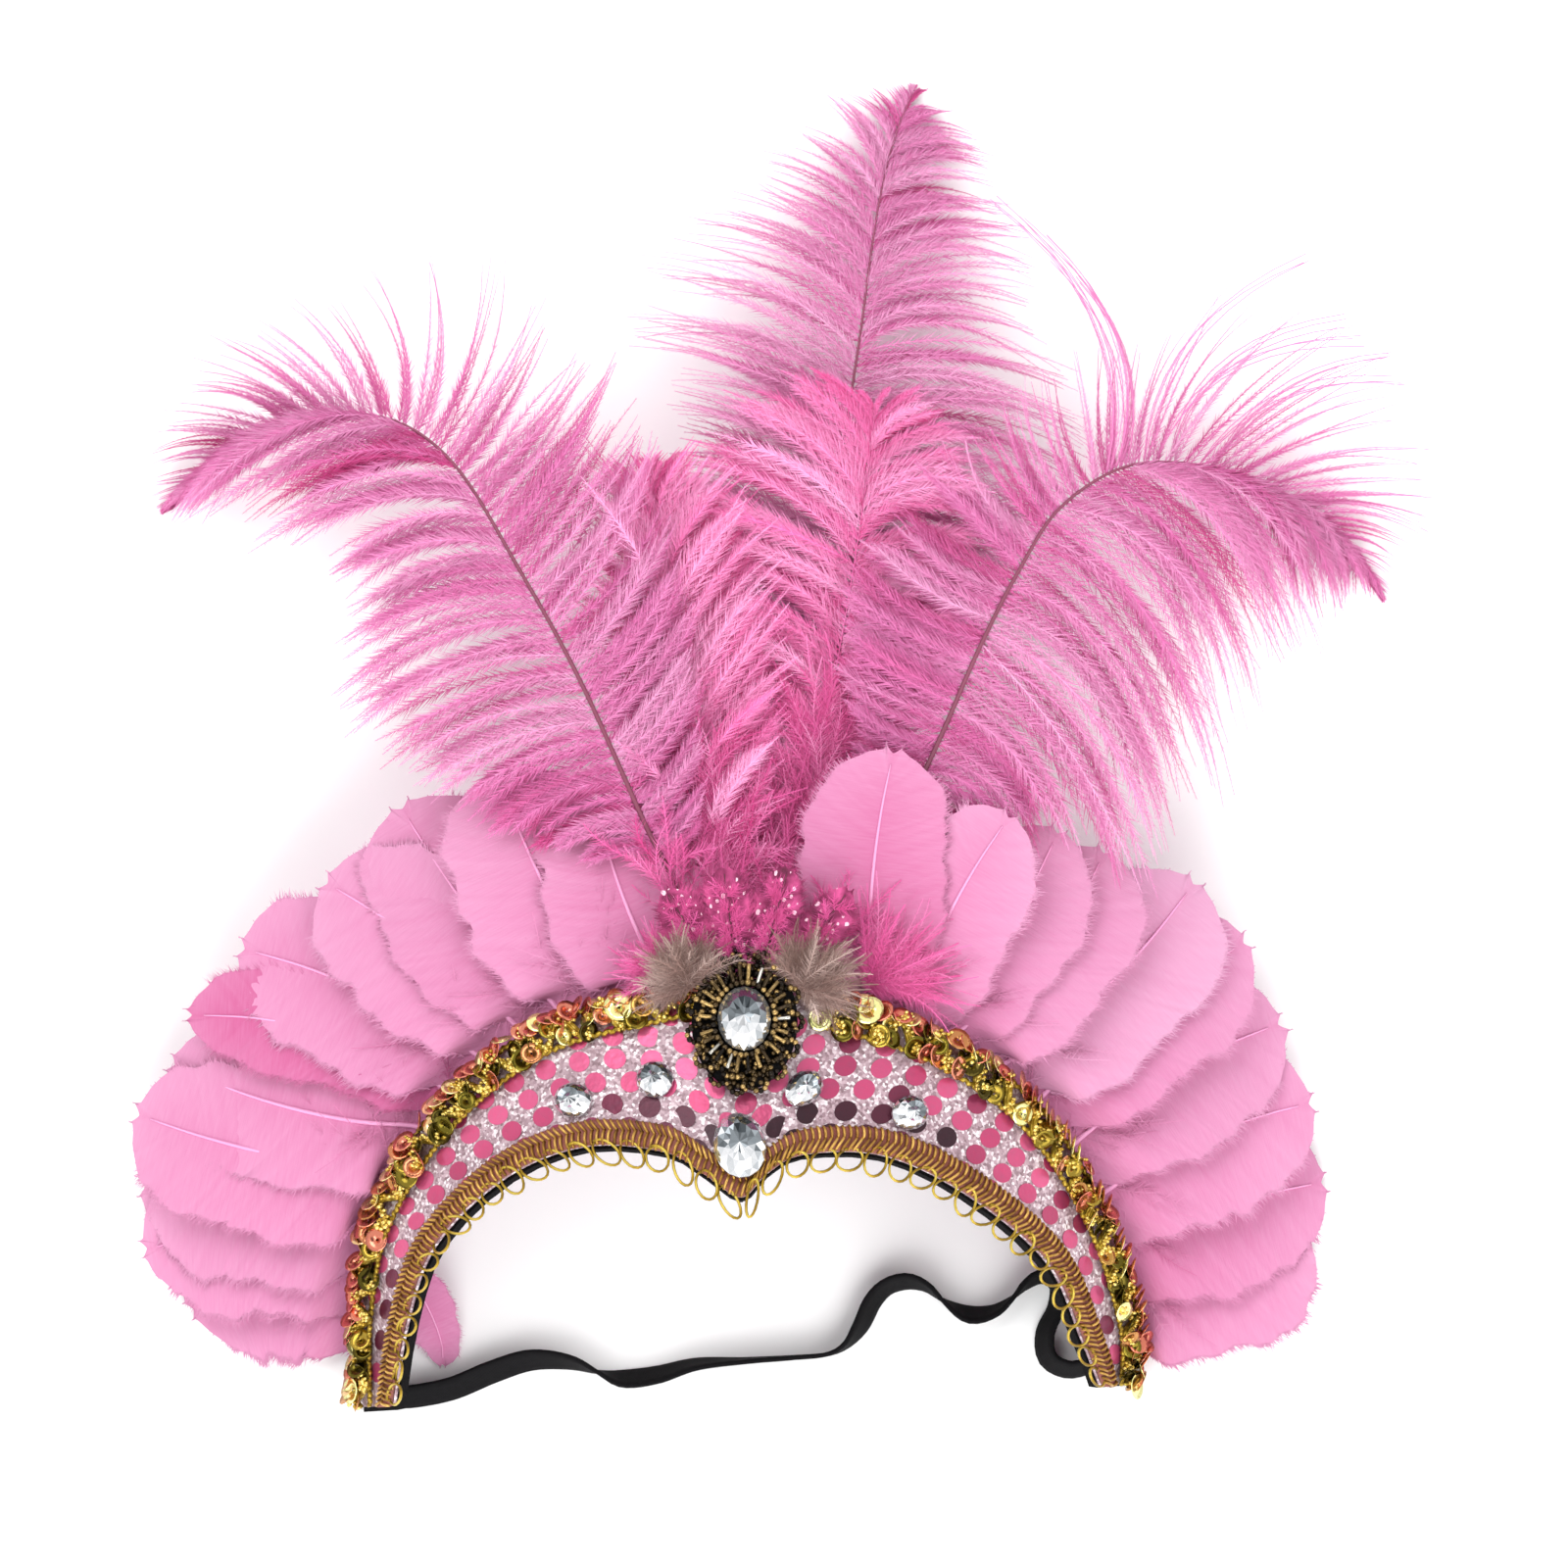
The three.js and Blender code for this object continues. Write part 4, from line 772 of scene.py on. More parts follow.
class Plume:
    """One ostrich plume while it is made: its quill's table, its shape, its random draws and its dress."""

    def __init__(self, name):
        root, rows = PLUMES[name]
        self.name = name
        self.front = "front" in name
        self.dress = PLUME_DRESS[name]
        self.rng = np.random.default_rng(self.dress["seed"])
        self.shape = Shape()
        self.thin = 1
        _, _, _, _, width = band_frame(root, 0.5)
        seat = [band_point(root, width[0] + d, QUILLS_BEHIND)[0] for d in (-QUILL_SEAT, QUILL_LEAD)]
        self.table = np.array([*seat, *rows])
        self.last = len(self.table) - 1
        self.fine = np.linspace(0, self.last, 1500)
        self.line = curve(self.table, self.fine)[:, :2]

    def add_quill(self):
        """The quill, thinner towards its tip."""
        places, _ = even_places(self.table, QUILL_STEPS)
        share = places / self.last
        radius = self.dress["quill"] * ((1 - share) ** 1.3 + 0.22)
        path = curve(self.table, places) + UP * 0.4
        add_tubes(self.shape, path[None], radius[None], 8, tint=(0.2 + 0.45 * share)[None],
                  slot=0 if self.front else 1)

    def barb_ends(self, side):
        """Places along the quill where barbs of this side leave it, and where they end in the photograph."""
        pairs = np.array(BARBS[self.name][side], float)
        roots, tips = from_photo(pairs[:, :2]), from_photo(pairs[:, 2:])
        at = self.fine[nearest_on(self.line, roots)]
        at = np.maximum.accumulate(at + 1e-3 * np.arange(len(at)))
        barbs = self.dress["barbs"] // self.thin
        places, _ = even_places(self.table, barbs, at[0], min(at[-1] + 0.05, self.last - 0.01))
        places = np.sort(places + self.rng.normal(0, 0.012, barbs))
        tips = np.column_stack([tips, np.zeros(len(tips))])
        return places, curve(tips, np.interp(places, at, np.arange(len(at))))[:, :2]

    def add_barbs(self, hand, side, lean, full_shares):
        """Barbs of one side, between the roots and tips seen in the photograph, each with its barbules."""
        rng, dress, t = self.rng, self.dress, ALONG_BARB
        places, end = self.barb_ends(side)
        barbs = len(places)
        here = curve(self.table, places)
        ahead = curve(self.table, np.clip(places + 0.04, 0, self.last))
        behind = curve(self.table, np.clip(places - 0.04, 0, self.last))
        heading = unit(ahead[:, :2] - behind[:, :2])

        # Neighbouring barbs draw together towards their tips in locks
        lock = np.repeat(np.arange(barbs), rng.integers(2, 8, barbs))[:barbs]
        locks = lock[-1] + 1
        in_lock = np.bincount(lock, minlength=locks)
        gather = np.stack([np.bincount(lock, end[:, k], locks) / in_lock for k in (0, 1)], -1)
        reach = np.linalg.norm(end - here[:, :2], axis=1)
        near, far = full_shares
        full = near + (far - near) * smoothstep(places / self.last, 0.35, 0.62)
        pull = (rng.uniform(0.1, 0.7, locks)[lock] + 0.35 * (1 - full))[:, None].clip(0, 0.97)
        end = end + (gather[lock] - end) * pull

        def uneven(of_locks, of_barbs, middle=0.0):
            """A random change for each lock and a further one for each of its barbs."""
            return rng.normal(middle, of_locks, locks)[lock] + rng.normal(0, of_barbs, barbs)

        longer = 1 + uneven(0.055, 0.04) - 0.12 * (rng.random(barbs) < 0.14)
        sway = heading * uneven(0.05, 0.04)[:, None] * reach[:, None]
        chord = (end - here[:, :2]) * longer[:, None] + sway
        turn = -hand * np.radians(lean + uneven(6, 6))
        rise = np.radians(uneven(0.7 * dress["spread"], 0.6 * dress["spread"], 1.5))
        lift = reach[:, None] * (np.tan(rise)[:, None] * t * (1 - 0.5 * t) - 0.06 * t * t)
        paths = here[:, None] + np.concatenate([bent_lines(chord, turn, 0.5), lift[..., None]], -1)
        paths[..., 2] = np.maximum(paths[..., 2], FLOOR + 2 * ABOVE_FLOOR)
        tangent = unit(np.gradient(paths, axis=1))
        sides = unit(np.cross(UP, tangent) + UP * rng.normal(0, 0.3, barbs)[:, None, None])
        normals = np.cross(tangent, sides)
        # Painted light: plumes with a light in their dress are painted lighter, to lift the shade among their
        # barbs
        shade = (0.5 + dress["light"] + uneven(0.09, 0.08))[:, None]
        # Painted shade: barbs that stand higher are painted lighter and those lower darker
        deep = 0.2 * np.clip(rise / np.radians(dress["spread"]), -1, 1)[:, None]
        fuller = np.interp(full, [0.05, 0.5], [0.55, 1.0])
        hairs = (BARBULE_LENGTH * np.clip(reach / 30, 0.3, 1) * fuller)[:, None]

        # Barbs with few barbules stand further apart
        keep = rng.random(barbs) < np.interp(full, [0.05, 0.4], [0.6, 1.0])
        paths, sides, normals, shade, deep, full, hairs = (
            part[keep] for part in (paths, sides, normals, shade, deep, full, hairs))
        add_ribbons(self.shape, paths, sides, 0.3 - 0.2 * t[None, :], shade + deep + 0.08)
        add_barbules(self.shape, rng, paths, normals, dress["barbules"] // self.thin, hairs, BARBULE_WIDTH,
                     BARBULE_LEAN, lambda place: shade + deep - 0.05 * place, full[:, None])

    def add_wisps(self):
        """Single long barbs that stand clear of the rest."""
        rng, t = self.rng, ALONG_BARB
        wisps = np.repeat(np.array(WISPS[self.name], float), WISP_COPIES, axis=0)
        count = len(wisps)
        start, end = from_photo(wisps[:, :2]), from_photo(wisps[:, 2:4]) + rng.normal(0, 1.1, (count, 2))
        start = curve(self.table, self.fine[nearest_on(self.line, start)])
        turn = np.radians(wisps[:, 4] + rng.normal(0, 3, count))
        lines = bent_lines(end - start[:, :2], turn, 0.55)
        lift = rng.uniform(2, 7, count)[:, None] * np.sin(math.pi * 0.6 * t)
        paths = start[:, None] + np.concatenate([lines, lift[..., None]], -1)
        tangent = unit(np.gradient(paths, axis=1))
        sides = unit(np.cross(UP, tangent))
        add_ribbons(self.shape, paths, sides, 0.2, 0.6)
        add_barbules(self.shape, rng, paths, np.cross(tangent, sides), WISP_BARBULES // self.thin, 1.7, 0.16,
                     BARBULE_LEAN, lambda place: 0.45 + 0.1 * place, 0.5)

    def add_down(self):
        """Soft deep-dyed down on the lowest part of the quill."""
        rng, t = self.rng, ALONG_BARB
        count = self.dress["down"] // self.thin
        zone, above = (2.1, 2.4) if self.front else (0.9, 0.6)
        places = DOWN_STARTS + zone * rng.random(count)
        here = curve(self.table, places) + UP * above
        ahead = unit(curve(self.table, places + 0.1) - here)
        aim = np.arctan2(ahead[:, 1], ahead[:, 0]) + rng.normal(0, 0.75, count)
        reach = rng.uniform(9, 24, count)
        heading = aim[:, None] + rng.normal(0, 0.7, count)[:, None] * t[None, :]
        step = np.stack([np.cos(heading), np.sin(heading), 0.2 - 0.3 * t[None, :] + 0 * heading], -1)
        paths = here[:, None] + np.cumsum(step, 1) * (reach / BARB_STEPS)[:, None, None]
        tangent = unit(np.gradient(paths, axis=1))
        sides = unit(np.cross(UP, tangent))
        shade = 0.42 + rng.normal(0, 0.14, count)[:, None]
        add_ribbons(self.shape, paths, sides, 0.2, shade + 0.15, 2)
        add_barbules(self.shape, rng, paths, np.cross(tangent, sides), 60, 3.8, 0.3, 34,
                     lambda place: shade + 0.1 * place, 0.7, 2)


def make_plume(name):
    """An ostrich plume with its quill, its barbs, its wisps and the down at its root."""
    plume = Plume(name)
    plume.add_quill()
    for number, (hand, side) in enumerate(((1, "left"), (-1, "right"))):
        plume.add_barbs(hand, side, plume.dress["lean"][number], plume.dress["full"][number])
    if name in WISPS:
        plume.add_wisps()
    plume.add_down()
    looks = [FRONT_LOOK if plume.front else PLUME_LOOK, QUILL_LOOK, DOWN_LOOK]
    piece = plume.shape.make("dressed_" + name, looks)
    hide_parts(name)


for plume_name in PLUMES:
    make_plume(plume_name)


# Flat feathers: the place of the root along the band, the tip's x, y and z, the width, how far the blade
# bows sideways and how far its middle stands above the straight line
FEATHERS = {
    "feather_left_1": [1.15, -134.0, -119.0, 1.8, 25, -6, 1],
    "feather_left_2": [1.5, -144.5, -105.0, 3.0, 25, -4, 2],
    "feather_left_3": [1.9, -145.0, -91.0, 6.0, 27, -2, 2.5],
    "feather_left_4": [2.35, -146.0, -74.5, 10.0, 27, 2, 3],
    "feather_left_5": [2.75, -138.0, -63.0, 13.0, 25, 3, 2.5],
    "feather_left_6": [3.1, -134.0, -52.0, 16.5, 24, -5, 2],
    "feather_left_7": [3.45, -122.0, -37.0, 22.0, 27, -3, 2.5],
    "feather_left_8": [3.8, -103.0, -22.0, 28.0, 27, -2, 3],
    "feather_left_9": [4.13, -86.0, -5.0, 32.0, 28, 2, 2],
    "feather_left_10": [4.5, -64.0, 2.5, 37.5, 28, 2, 2],
    "feather_left_11": [4.95, -42.0, -3.0, 44.0, 25, 2, 2],
    "feather_right_1": [12.75, 118.0, -102.0, 1.8, 24, -3, 1],
    "feather_right_2": [12.35, 122.0, -90.0, 3.5, 26, 2, 2],
    "feather_right_3": [11.9, 119.0, -72.0, 7.5, 27, 3, 2.5],
    "feather_right_4": [11.45, 112.0, -54.0, 12.0, 27, 3, 3],
    "feather_right_5": [11.0, 104.0, -35.5, 17.0, 26, 2, 3],
    "feather_right_6": [10.6, 92.5, -22.0, 22.0, 25, -3, 3],
    "feather_right_7": [10.15, 72.0, -15.0, 30.0, 24, -4, 3],
    "feather_right_8": [9.95, 61.5, -10.5, 39.0, 22, -2, 2],
    "feather_right_9": [9.7, 50.5, -7.0, 48.5, 22, 2, 1],
    "feather_right_10": [9.35, 24.5, 7.5, 52.0, 22, 2, 1],
}
BEHIND_BASE = -BASE_THICK - GAP - 0.2
FEATHER_SEAT = 6
FEATHER_LEAD = 3
# How much fuller the dressed feathers are than the CAD's, and how far they lie over or under their neighbours
FULLER = 1.42
LAID_OVER = np.array([0.9, 1.5, 1.8, 1.8])
LAID_UNDER = -0.4
# Feathers that differ from the rest: their width against the CAD's, and how light they are
ODD_FEATHERS = {"feather_left_6": (1.0, 0.12), "feather_left_3": (1.5, 0.55), "feather_right_6": (1.5, 0.74),
                "feather_right_2": (1.5, 0.4), "feather_right_10": (1.5, 0.34), "feather_left_1": (1.5, 0.5)}
# Half the vane's width, as a share of the greatest, at shares of the feather's length
VANE = ([0.0, 0.06, 0.15, 0.3, 0.5, 0.68, 0.82, 0.92, 0.98, 1.0],
        [0.3, 0.52, 0.72, 0.9, 1.0, 1.0, 0.9, 0.68, 0.36, 0.12])
GUINEA_VANE = ([0.0, 0.3, 0.5, 0.75, 0.92, 1.0], [0.3, 0.6, 0.9, 1.0, 0.75, 0.2])
ALONG_VANE = np.linspace(0, 1, 9)
CAMBER = 0.015
SLITS = 3
FLUFF_STEPS = 5
USUAL_WIDTH = 30


class Blade:
    """The curved surface that the barbs of one flat feather lie in."""

    def __init__(self, path, width, onward, rng):
        self.path, self.width, self.onward, self.rng = path, width, onward, rng
        self.places, walked = even_places(path, 200)
        self.long = walked[-1]
        self.shares = walked / self.long
        self.last = len(path) - 1
        self.warp = rng.normal(0, 1, 6)

    def at(self, share, offset):
        """Points, and directions sideways, upright and onward, at shares of the quill's length and offsets in
        mm from the quill. The vane leaves the band flat on it and turns level."""
        flat_share, over = share.ravel(), offset.ravel()[:, None]
        places = np.interp(np.clip(flat_share, 0, 1), self.shares, self.places)
        ahead = curve(self.path, np.clip(places + 0.03, 0, self.last))
        tangent = unit(ahead - curve(self.path, np.clip(places - 0.03, 0, self.last)))
        point = curve(self.path, places) + tangent * (np.maximum(flat_share - 1, 0) * self.long)[:, None]
        level = unit(np.cross(UP, tangent))
        start = self.onward * np.sign((level * self.onward).sum(-1, keepdims=True) + 1e-9)
        turn = smoothstep(flat_share, 0.1, 0.32)[:, None]
        side = unit(start * (1 - turn) + level * turn)
        upright = np.cross(tangent, side)
        warp = self.warp
        wave = warp[0] * np.sin(flat_share * 5 + warp[1] * 3)
        wave = wave + warp[2] * np.sin(flat_share * 9 + warp[3] * 3) * np.sign(over[:, 0])
        wave = wave * np.abs(over[:, 0]) / self.width * 0.7
        points = point + side * over + upright * (wave[:, None] - CAMBER * over * over / (self.width / 2))
        return [axis.reshape(share.shape + (3,)) for axis in (points, side, upright, tangent)]

    def add_half(self, shape, hand, barbs, vane, bright, fringe, fray):
        """The vane on one side of the quill: barbs side by side that split here and there, with fine hairs
        along the rim."""
        rng, t = self.rng, ALONG_VANE
        share = np.linspace(0.02, 0.99, barbs)
        end = np.minimum(share + 0.15 * (1 - 0.4 * share), 1.0 + 0.015 * share)
        slits = np.sort(rng.choice(np.arange(barbs // 3, barbs - 6), SLITS, replace=False))
        from_slits = [(np.arange(barbs) - slit - 0.5) / barbs for slit in slits]
        lean = np.zeros(barbs)
        for away in from_slits:
            lean += np.sign(away) * np.exp(-np.abs(away) / 0.03) * rng.uniform(0.002, 0.014)
        end = np.maximum.accumulate(end + lean)
        uneven = 1 + 0.05 * np.sin(share * 13 + self.warp[4] * 3 + hand)
        uneven = uneven + 0.03 * np.sin(share * 37 + self.warp[5] * 3)
        for away in from_slits:
            uneven -= rng.uniform(0.02, 0.09) * np.exp(-np.abs(away) / 0.025)
        half = np.interp(end, *vane) * self.width / 2 * uneven * (1 + rng.normal(0, 0.008, barbs))
        shares = share[:, None] + (end - share)[:, None] * t[None, :] ** 1.3
        offsets = hand * half[:, None] * t[None, :]
        points, _, upright, tangent = self.at(shares, offsets)
        points = points + upright * rng.normal(0, 0.05, barbs)[:, None, None] * t[None, :, None]
        shade = bright + 0.14 * (t[None, :] - 0.5) + 0.24 * (shares - 0.5)
        shade = shade + rng.normal(0, 0.02, barbs)[:, None]
        flat = np.stack([shares * self.long, np.abs(offsets)], -1)
        shape.add(points, grid_triangles(barbs, len(t)), shade.ravel(), flat)

        # Hairs along the rim, shorter near the feather's tip
        at = np.repeat(np.arange(barbs), fringe * 2)
        out, along, above = unit(points[at, -1] - points[at, -2]), unit(tangent[at, -1]), upright[at, -1]
        slid = (rng.random(len(at)) - 0.5)[:, None] * self.long / barbs * 1.4
        rim = points[at, -1] + along * slid - out * 0.4
        reach = fray * (0.25 + rng.random(len(at)) ** 2 * 1.6) * np.where(share[at] > 0.84, 0.2, 1.0)
        aim = out + along * rng.normal(0.15, 0.3, (len(at), 1)) + above * rng.normal(0, 0.2, (len(at), 1))
        tints = np.repeat(shade[at, -1], 3) + 0.05
        add_thorns(shape, rim, along * 0.14, rim + unit(aim) * reach[:, None], tints)

    def add_quill(self, shape, tint):
        """The quill lies on the vane."""
        share = np.linspace(0, 0.95, 24)
        points, _, upright, _ = self.at(share, np.zeros(24))
        radius = 0.5 * (1 - share) ** 0.8 * self.width / USUAL_WIDTH + 0.1
        add_tubes(shape, (points + upright * 0.1)[None], radius[None], 6, tint=tint, slot=1)

    def add_fluff(self, shape, count, zone, bright, slot):
        """Loose down round the lower part of the quill. Down with a look of its own stands higher."""
        rng = self.rng
        share = rng.random(count) * zone
        hand = np.where(rng.random(count) < 0.5, 1.0, -1.0)
        points, side, upright, tangent = self.at(share, np.zeros(count))
        reach = (5 + 9 * rng.random(count)) * self.width / USUAL_WIDTH
        s = np.linspace(0, 1, FLUFF_STEPS)[None, :, None]
        aim = unit(side * hand[:, None] + tangent * rng.uniform(0.1, 0.9, (count, 1))
                   + upright * rng.normal(0.1, 0.16, (count, 1)))
        paths = points[:, None] + (aim[:, None] * s + tangent[:, None] * 0.35 * s * s) * reach[:, None, None]
        along = unit(np.gradient(paths, axis=1))
        sides = unit(np.cross(upright[:, None], along))
        shade = bright - 0.06 + rng.normal(0, 0.06, count)[:, None]
        if slot:
            paths = paths + upright[:, None] * (0.5 + 1.8 * s)
        add_ribbons(shape, paths, sides, 0.16, shade, slot)
        add_barbules(shape, rng, paths, np.cross(along, sides), 26, 3.4, 0.2, 42,
                     lambda place: shade, slot=slot)


def make_vane(name, look, path, width, onward, seed, vane=VANE, barbs=84, fluff=44, bright=0.5,
              quill=(FLAT_QUILL_LOOK, 0.5), fringe=5, fray=1.7, down=None, fluffed=0.3):
    """A flat feather: a quill, a vane of barbs with a frayed rim, and down round the quill's lower part."""
    shape = Shape()
    blade = Blade(path, width, onward, np.random.default_rng(seed))
    for hand in (1, -1):
        blade.add_half(shape, hand, barbs, vane, bright, fringe, fray)
    blade.add_quill(shape, quill[1])
    blade.add_fluff(shape, fluff, fluffed, bright, 2 if down else 0)
    piece = shape.make("dressed_" + name, [look, quill[0]] + ([down] if down else []))
    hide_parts(name)


def feather_path(root, seat, lead, lift, tip, bow=0.0, rise=0.0):
    """A quill's line from its seat over the band's edge to its tip, and the band's direction there."""
    _, onward, _, _, width = band_frame(root, 0.5)
    start, edge = (band_point(root, width[0] + d, lift)[0] for d in (-seat, lead))
    tip = np.asarray(tip, float)
    across = unit(np.cross(UP, tip - edge))
    path = [start, edge]
    for share in (0.25, 0.5, 0.75):
        swell = 4 * share * (1 - share)
        path.append(edge + (tip - edge) * share + across * bow * swell + UP * rise * swell)
    return np.array(path + [tip]), onward[0]


for number, (feather_name, row) in enumerate(FEATHERS.items()):
    root_row, *feather_tip, feather_width, bow, rise = row
    feather_line, feather_onward = feather_path(
        root_row, FEATHER_SEAT, FEATHER_LEAD, BEHIND_BASE, feather_tip, bow, rise)
    feather_line[2:] += UP * LAID_OVER[:, None] * (1 if number % 2 else LAID_UNDER)
    fuller, bright = ODD_FEATHERS.get(feather_name, (FULLER, 0.46 + 0.08 * ((number * 7) % 5) / 4))
    make_vane(feather_name, FLAT_LOOK, feather_line, feather_width * fuller, feather_onward,
              100 + number, bright=bright)

# The short feather inside the others on the left runs back past the band's end, so its line has points of
# its own
INNER_ROOT = 1.6
INNER_WIDTH = 11
INNER_LINE = [[-86.0, -109.0, 13.0], [-80.5, -118.0, 7.5], [-77.5, -126.0, 3.0], [-77.2, -131.5, 1.5]]
_, inner_onward, _, _, inner_width = band_frame(INNER_ROOT, 0.5)
inner_start = band_point(INNER_ROOT, inner_width[0] - FEATHER_SEAT, BEHIND_BASE)[0]
make_vane("feather_left_inner", FLAT_LOOK, np.array([inner_start, *INNER_LINE]), INNER_WIDTH,
          inner_onward[0], 140, barbs=60, fluff=24, bright=0.4, fray=1.0, fringe=4)


# Spotted guinea feathers: the place of the root along the band and the tip's x, y and z
GUINEA = {
    "guinea_feather_1": [6.21, -26.5, -23.5, 58.6], "guinea_feather_2": [6.77, -13.5, -18.5, 58.9],
    "guinea_feather_3": [7.34, 1.0, -18.5, 58.9], "guinea_feather_4": [7.92, 14.5, -23.5, 58.6],
}
GUINEA_SEAT = 5
GUINEA_LEAD = 1
GUINEA_LIFT = ON_COVER + BLADE_THICK
GUINEA_WIDTH = 9.6
for number, (feather_name, (root_row, *feather_tip)) in enumerate(GUINEA.items()):
    feather_line, feather_onward = feather_path(root_row, GUINEA_SEAT, GUINEA_LEAD, GUINEA_LIFT, feather_tip)
    make_vane(feather_name, GUINEA_LOOK, feather_line, GUINEA_WIDTH, feather_onward,
              160 + number, vane=GUINEA_VANE, barbs=60, fluff=60, bright=0.45, quill=(QUILL_LOOK, 0.2),
              fray=1.8, down=DOWN_LOOK, fluffed=0.85)


# Down and marabou: the root's x, y and z, where the tuft points and how wide it fans out in degrees, its
# length, then its seed, strands, hairs on each strand and their length
TUFTS = {
    "marabou_left": [-21.3, -44.8, 63.4, 128, 160, 14, 201, 150, 90, 3.4],
    "marabou_right": [3.8, -45.2, 63.4, 40, 180, 16, 202, 190, 90, 3.6],
    "down_tuft_left": [-25.6, -43.0, 56.9, 140, 110, 14, 203, 120, 90, 3.4],
    "down_tuft_right": [19.0, -45.0, 52.3, 42, 105, 24, 204, 200, 110, 4.2],
}
TUFT_STEPS = 8
TUFT_LOOKS = {"marabou": MARABOU_LOOK, "down": DOWN_LOOK}


def make_tuft(name):
    """A soft tuft: strands from one root in a fan, each with long fine hairs."""
    *root, heading, spread, length, seed, strands, hairs, hair_length = TUFTS[name]
    rng = np.random.default_rng(seed)
    angle = np.radians(heading + spread * (rng.random(strands) - 0.5))
    pitch = np.radians(np.clip(rng.normal(6, 13, strands), -18, 34))
    reach = length * (0.55 + 0.55 * rng.random(strands))
    t = np.linspace(0, 1, TUFT_STEPS)
    swing = angle[:, None] + rng.normal(0, 0.5, strands)[:, None] * t[None, :]
    tilt = pitch[:, None] - 0.5 * t[None, :]
    step = np.stack([np.cos(swing) * np.cos(tilt), np.sin(swing) * np.cos(tilt), np.sin(tilt)], -1)
    line = np.concatenate([np.zeros((strands, 1, 3)), np.cumsum(step[:, 1:], 1)], 1)
    start = np.array(root) + rng.normal(0, 0.6, (strands, 3)) * [1, 1, 0.5]
    paths = start[:, None] + line * (reach / (TUFT_STEPS - 1))[:, None, None]
    along = unit(np.gradient(paths, axis=1))
    sides = unit(np.cross(UP, along) + rng.normal(0, 0.3, (strands, 1, 3)))
    shade = rng.normal(0.5, 0.16, strands)[:, None]
    shape = Shape()
    add_ribbons(shape, paths, sides, 0.16, shade)
    add_barbules(shape, rng, paths, np.cross(along, sides), hairs, hair_length, 0.15, 38,
                 lambda place: shade + 0.25 * place - 0.1, 0.5)
    slot = name.split("_")[0]
    piece = shape.make("dressed_" + name, [TUFT_LOOKS[slot]])
    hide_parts(name)


for tuft_name in TUFTS:
    make_tuft(tuft_name)


# Glitter cover with foil dots in staggered rows
COVER_COLUMNS = 14
COVER_ROUND = 0.15
DOT_RADIUS = 2.55
DOT_THICK = 0.1
DOT_SIDES = 20
DOT_PITCH = 8.3
DOT_ROWS = np.arange(5.0, 40.0, 5.6)
DOT_TO_EDGE = 6.5
DOT_LIFT = ON_BASE + COVER_THICK + 0.02


def add_cover_cloth(shape):
    """The cover's cloth as a closed solid with softly rounded rims."""
    along = np.linspace(TRIM_END, LAST_ROW - TRIM_END, BAND_STEPS)
    _, _, _, _, width = band_frame(along, 0.5)
    low, high = COVER_INSET, width - COVER_INSET
    top, middle = ON_BASE + COVER_THICK, ON_BASE + COVER_THICK / 2
    section = [(low + (high - low) * share, top) for share in np.linspace(0, 1, COVER_COLUMNS)]
    section += [(high + COVER_ROUND, middle), (high, ON_BASE), (low, ON_BASE), (low - COVER_ROUND, middle)]
    grid = np.stack([band_point(along, from_inner, lift) for from_inner, lift in section], 1)
    shape.add(grid, loft_triangles(BAND_STEPS, len(section))[:, ::-1])


def make_cover():
    """The glitter cloth and its foil dots."""
    shape = Shape()
    add_cover_cloth(shape)
    rng = np.random.default_rng(31)
    disc, faces = flat_disc(DOT_RADIUS, DOT_RADIUS, DOT_THICK, DOT_THICK * 1.3, DOT_SIDES)
    for index, from_inner in enumerate(DOT_ROWS):
        places = band_walk(DOT_PITCH, from_inner, 0.15, LAST_ROW - 0.15)
        if index % 2:
            places = (places[1:] + places[:-1]) / 2
        _, onward, upward, front, width = band_frame(places, 0.5)
        keep = from_inner < width - DOT_TO_EDGE
        centre = band_point(places, from_inner, DOT_LIFT)[keep]
        count = len(centre)
        turns = np.stack([onward, upward, front], -1)[keep] @ (np.eye(3) + rng.normal(0, 0.02, (count, 3, 3)))
        # Painted reflection: dots low in the middle face the dim overhead and are painted dark, and a few
        # more at random are painted darker; those on the sides stay pink
        middle = np.exp(-((centre[:, 0] + 4) / 40) ** 2) * np.clip((17 - from_inner) / 6, 0, 1)
        darker = (rng.random(count) < 0.22) * rng.uniform(0.2, 0.6, count)
        add_copies(shape, disc, faces, turns, centre, 0.9 - middle - darker + rng.normal(0, 0.06, count), 1)
    piece = shape.make("glitter_cover", [GLITTER, FOIL], smooth=False)
    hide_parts("band_cover")


make_cover()


# Sequin trim along the outer parts of the upper edge. Its distances are counted inwards from that edge in mm
TRIM_STEP = 0.55
SCROLL_PITCH = 9.4
SCROLL_STRANDS = 6
SCROLL_MIDDLE = 4.7
SIDE_CORDS = (1.2, 8.0)
BEADS_PER_MM = 5.2
SEQUIN_RADIUS = 2.6
PALE_SIZE = 1.3
# Rows of cup sequins: how far in they lie, their pitch, how far they lean along and across the band, and
# whether they are the coral ones along the edge
SEQUIN_ROWS = [(1.2, 2.3, 0.7, 0.5, True), (4.2, 3.1, 0.6, 0.1, False), (7.0, 2.9, 0.7, -0.3, False)]
# Where each trim starts and ends along the band, the seed of its random draws, and its large pale sequins:
# their place along the band and how far in they lie
TRIMS = {
    "sequin_trim_left": (TRIM_END, 5.9, 41, [[4.62, 3.6], [0.34, 2.9]]),
    "sequin_trim_right": (8.6, LAST_ROW - TRIM_END, 42, [[9.3, 2.4], [13.9, 4.2]]),
}


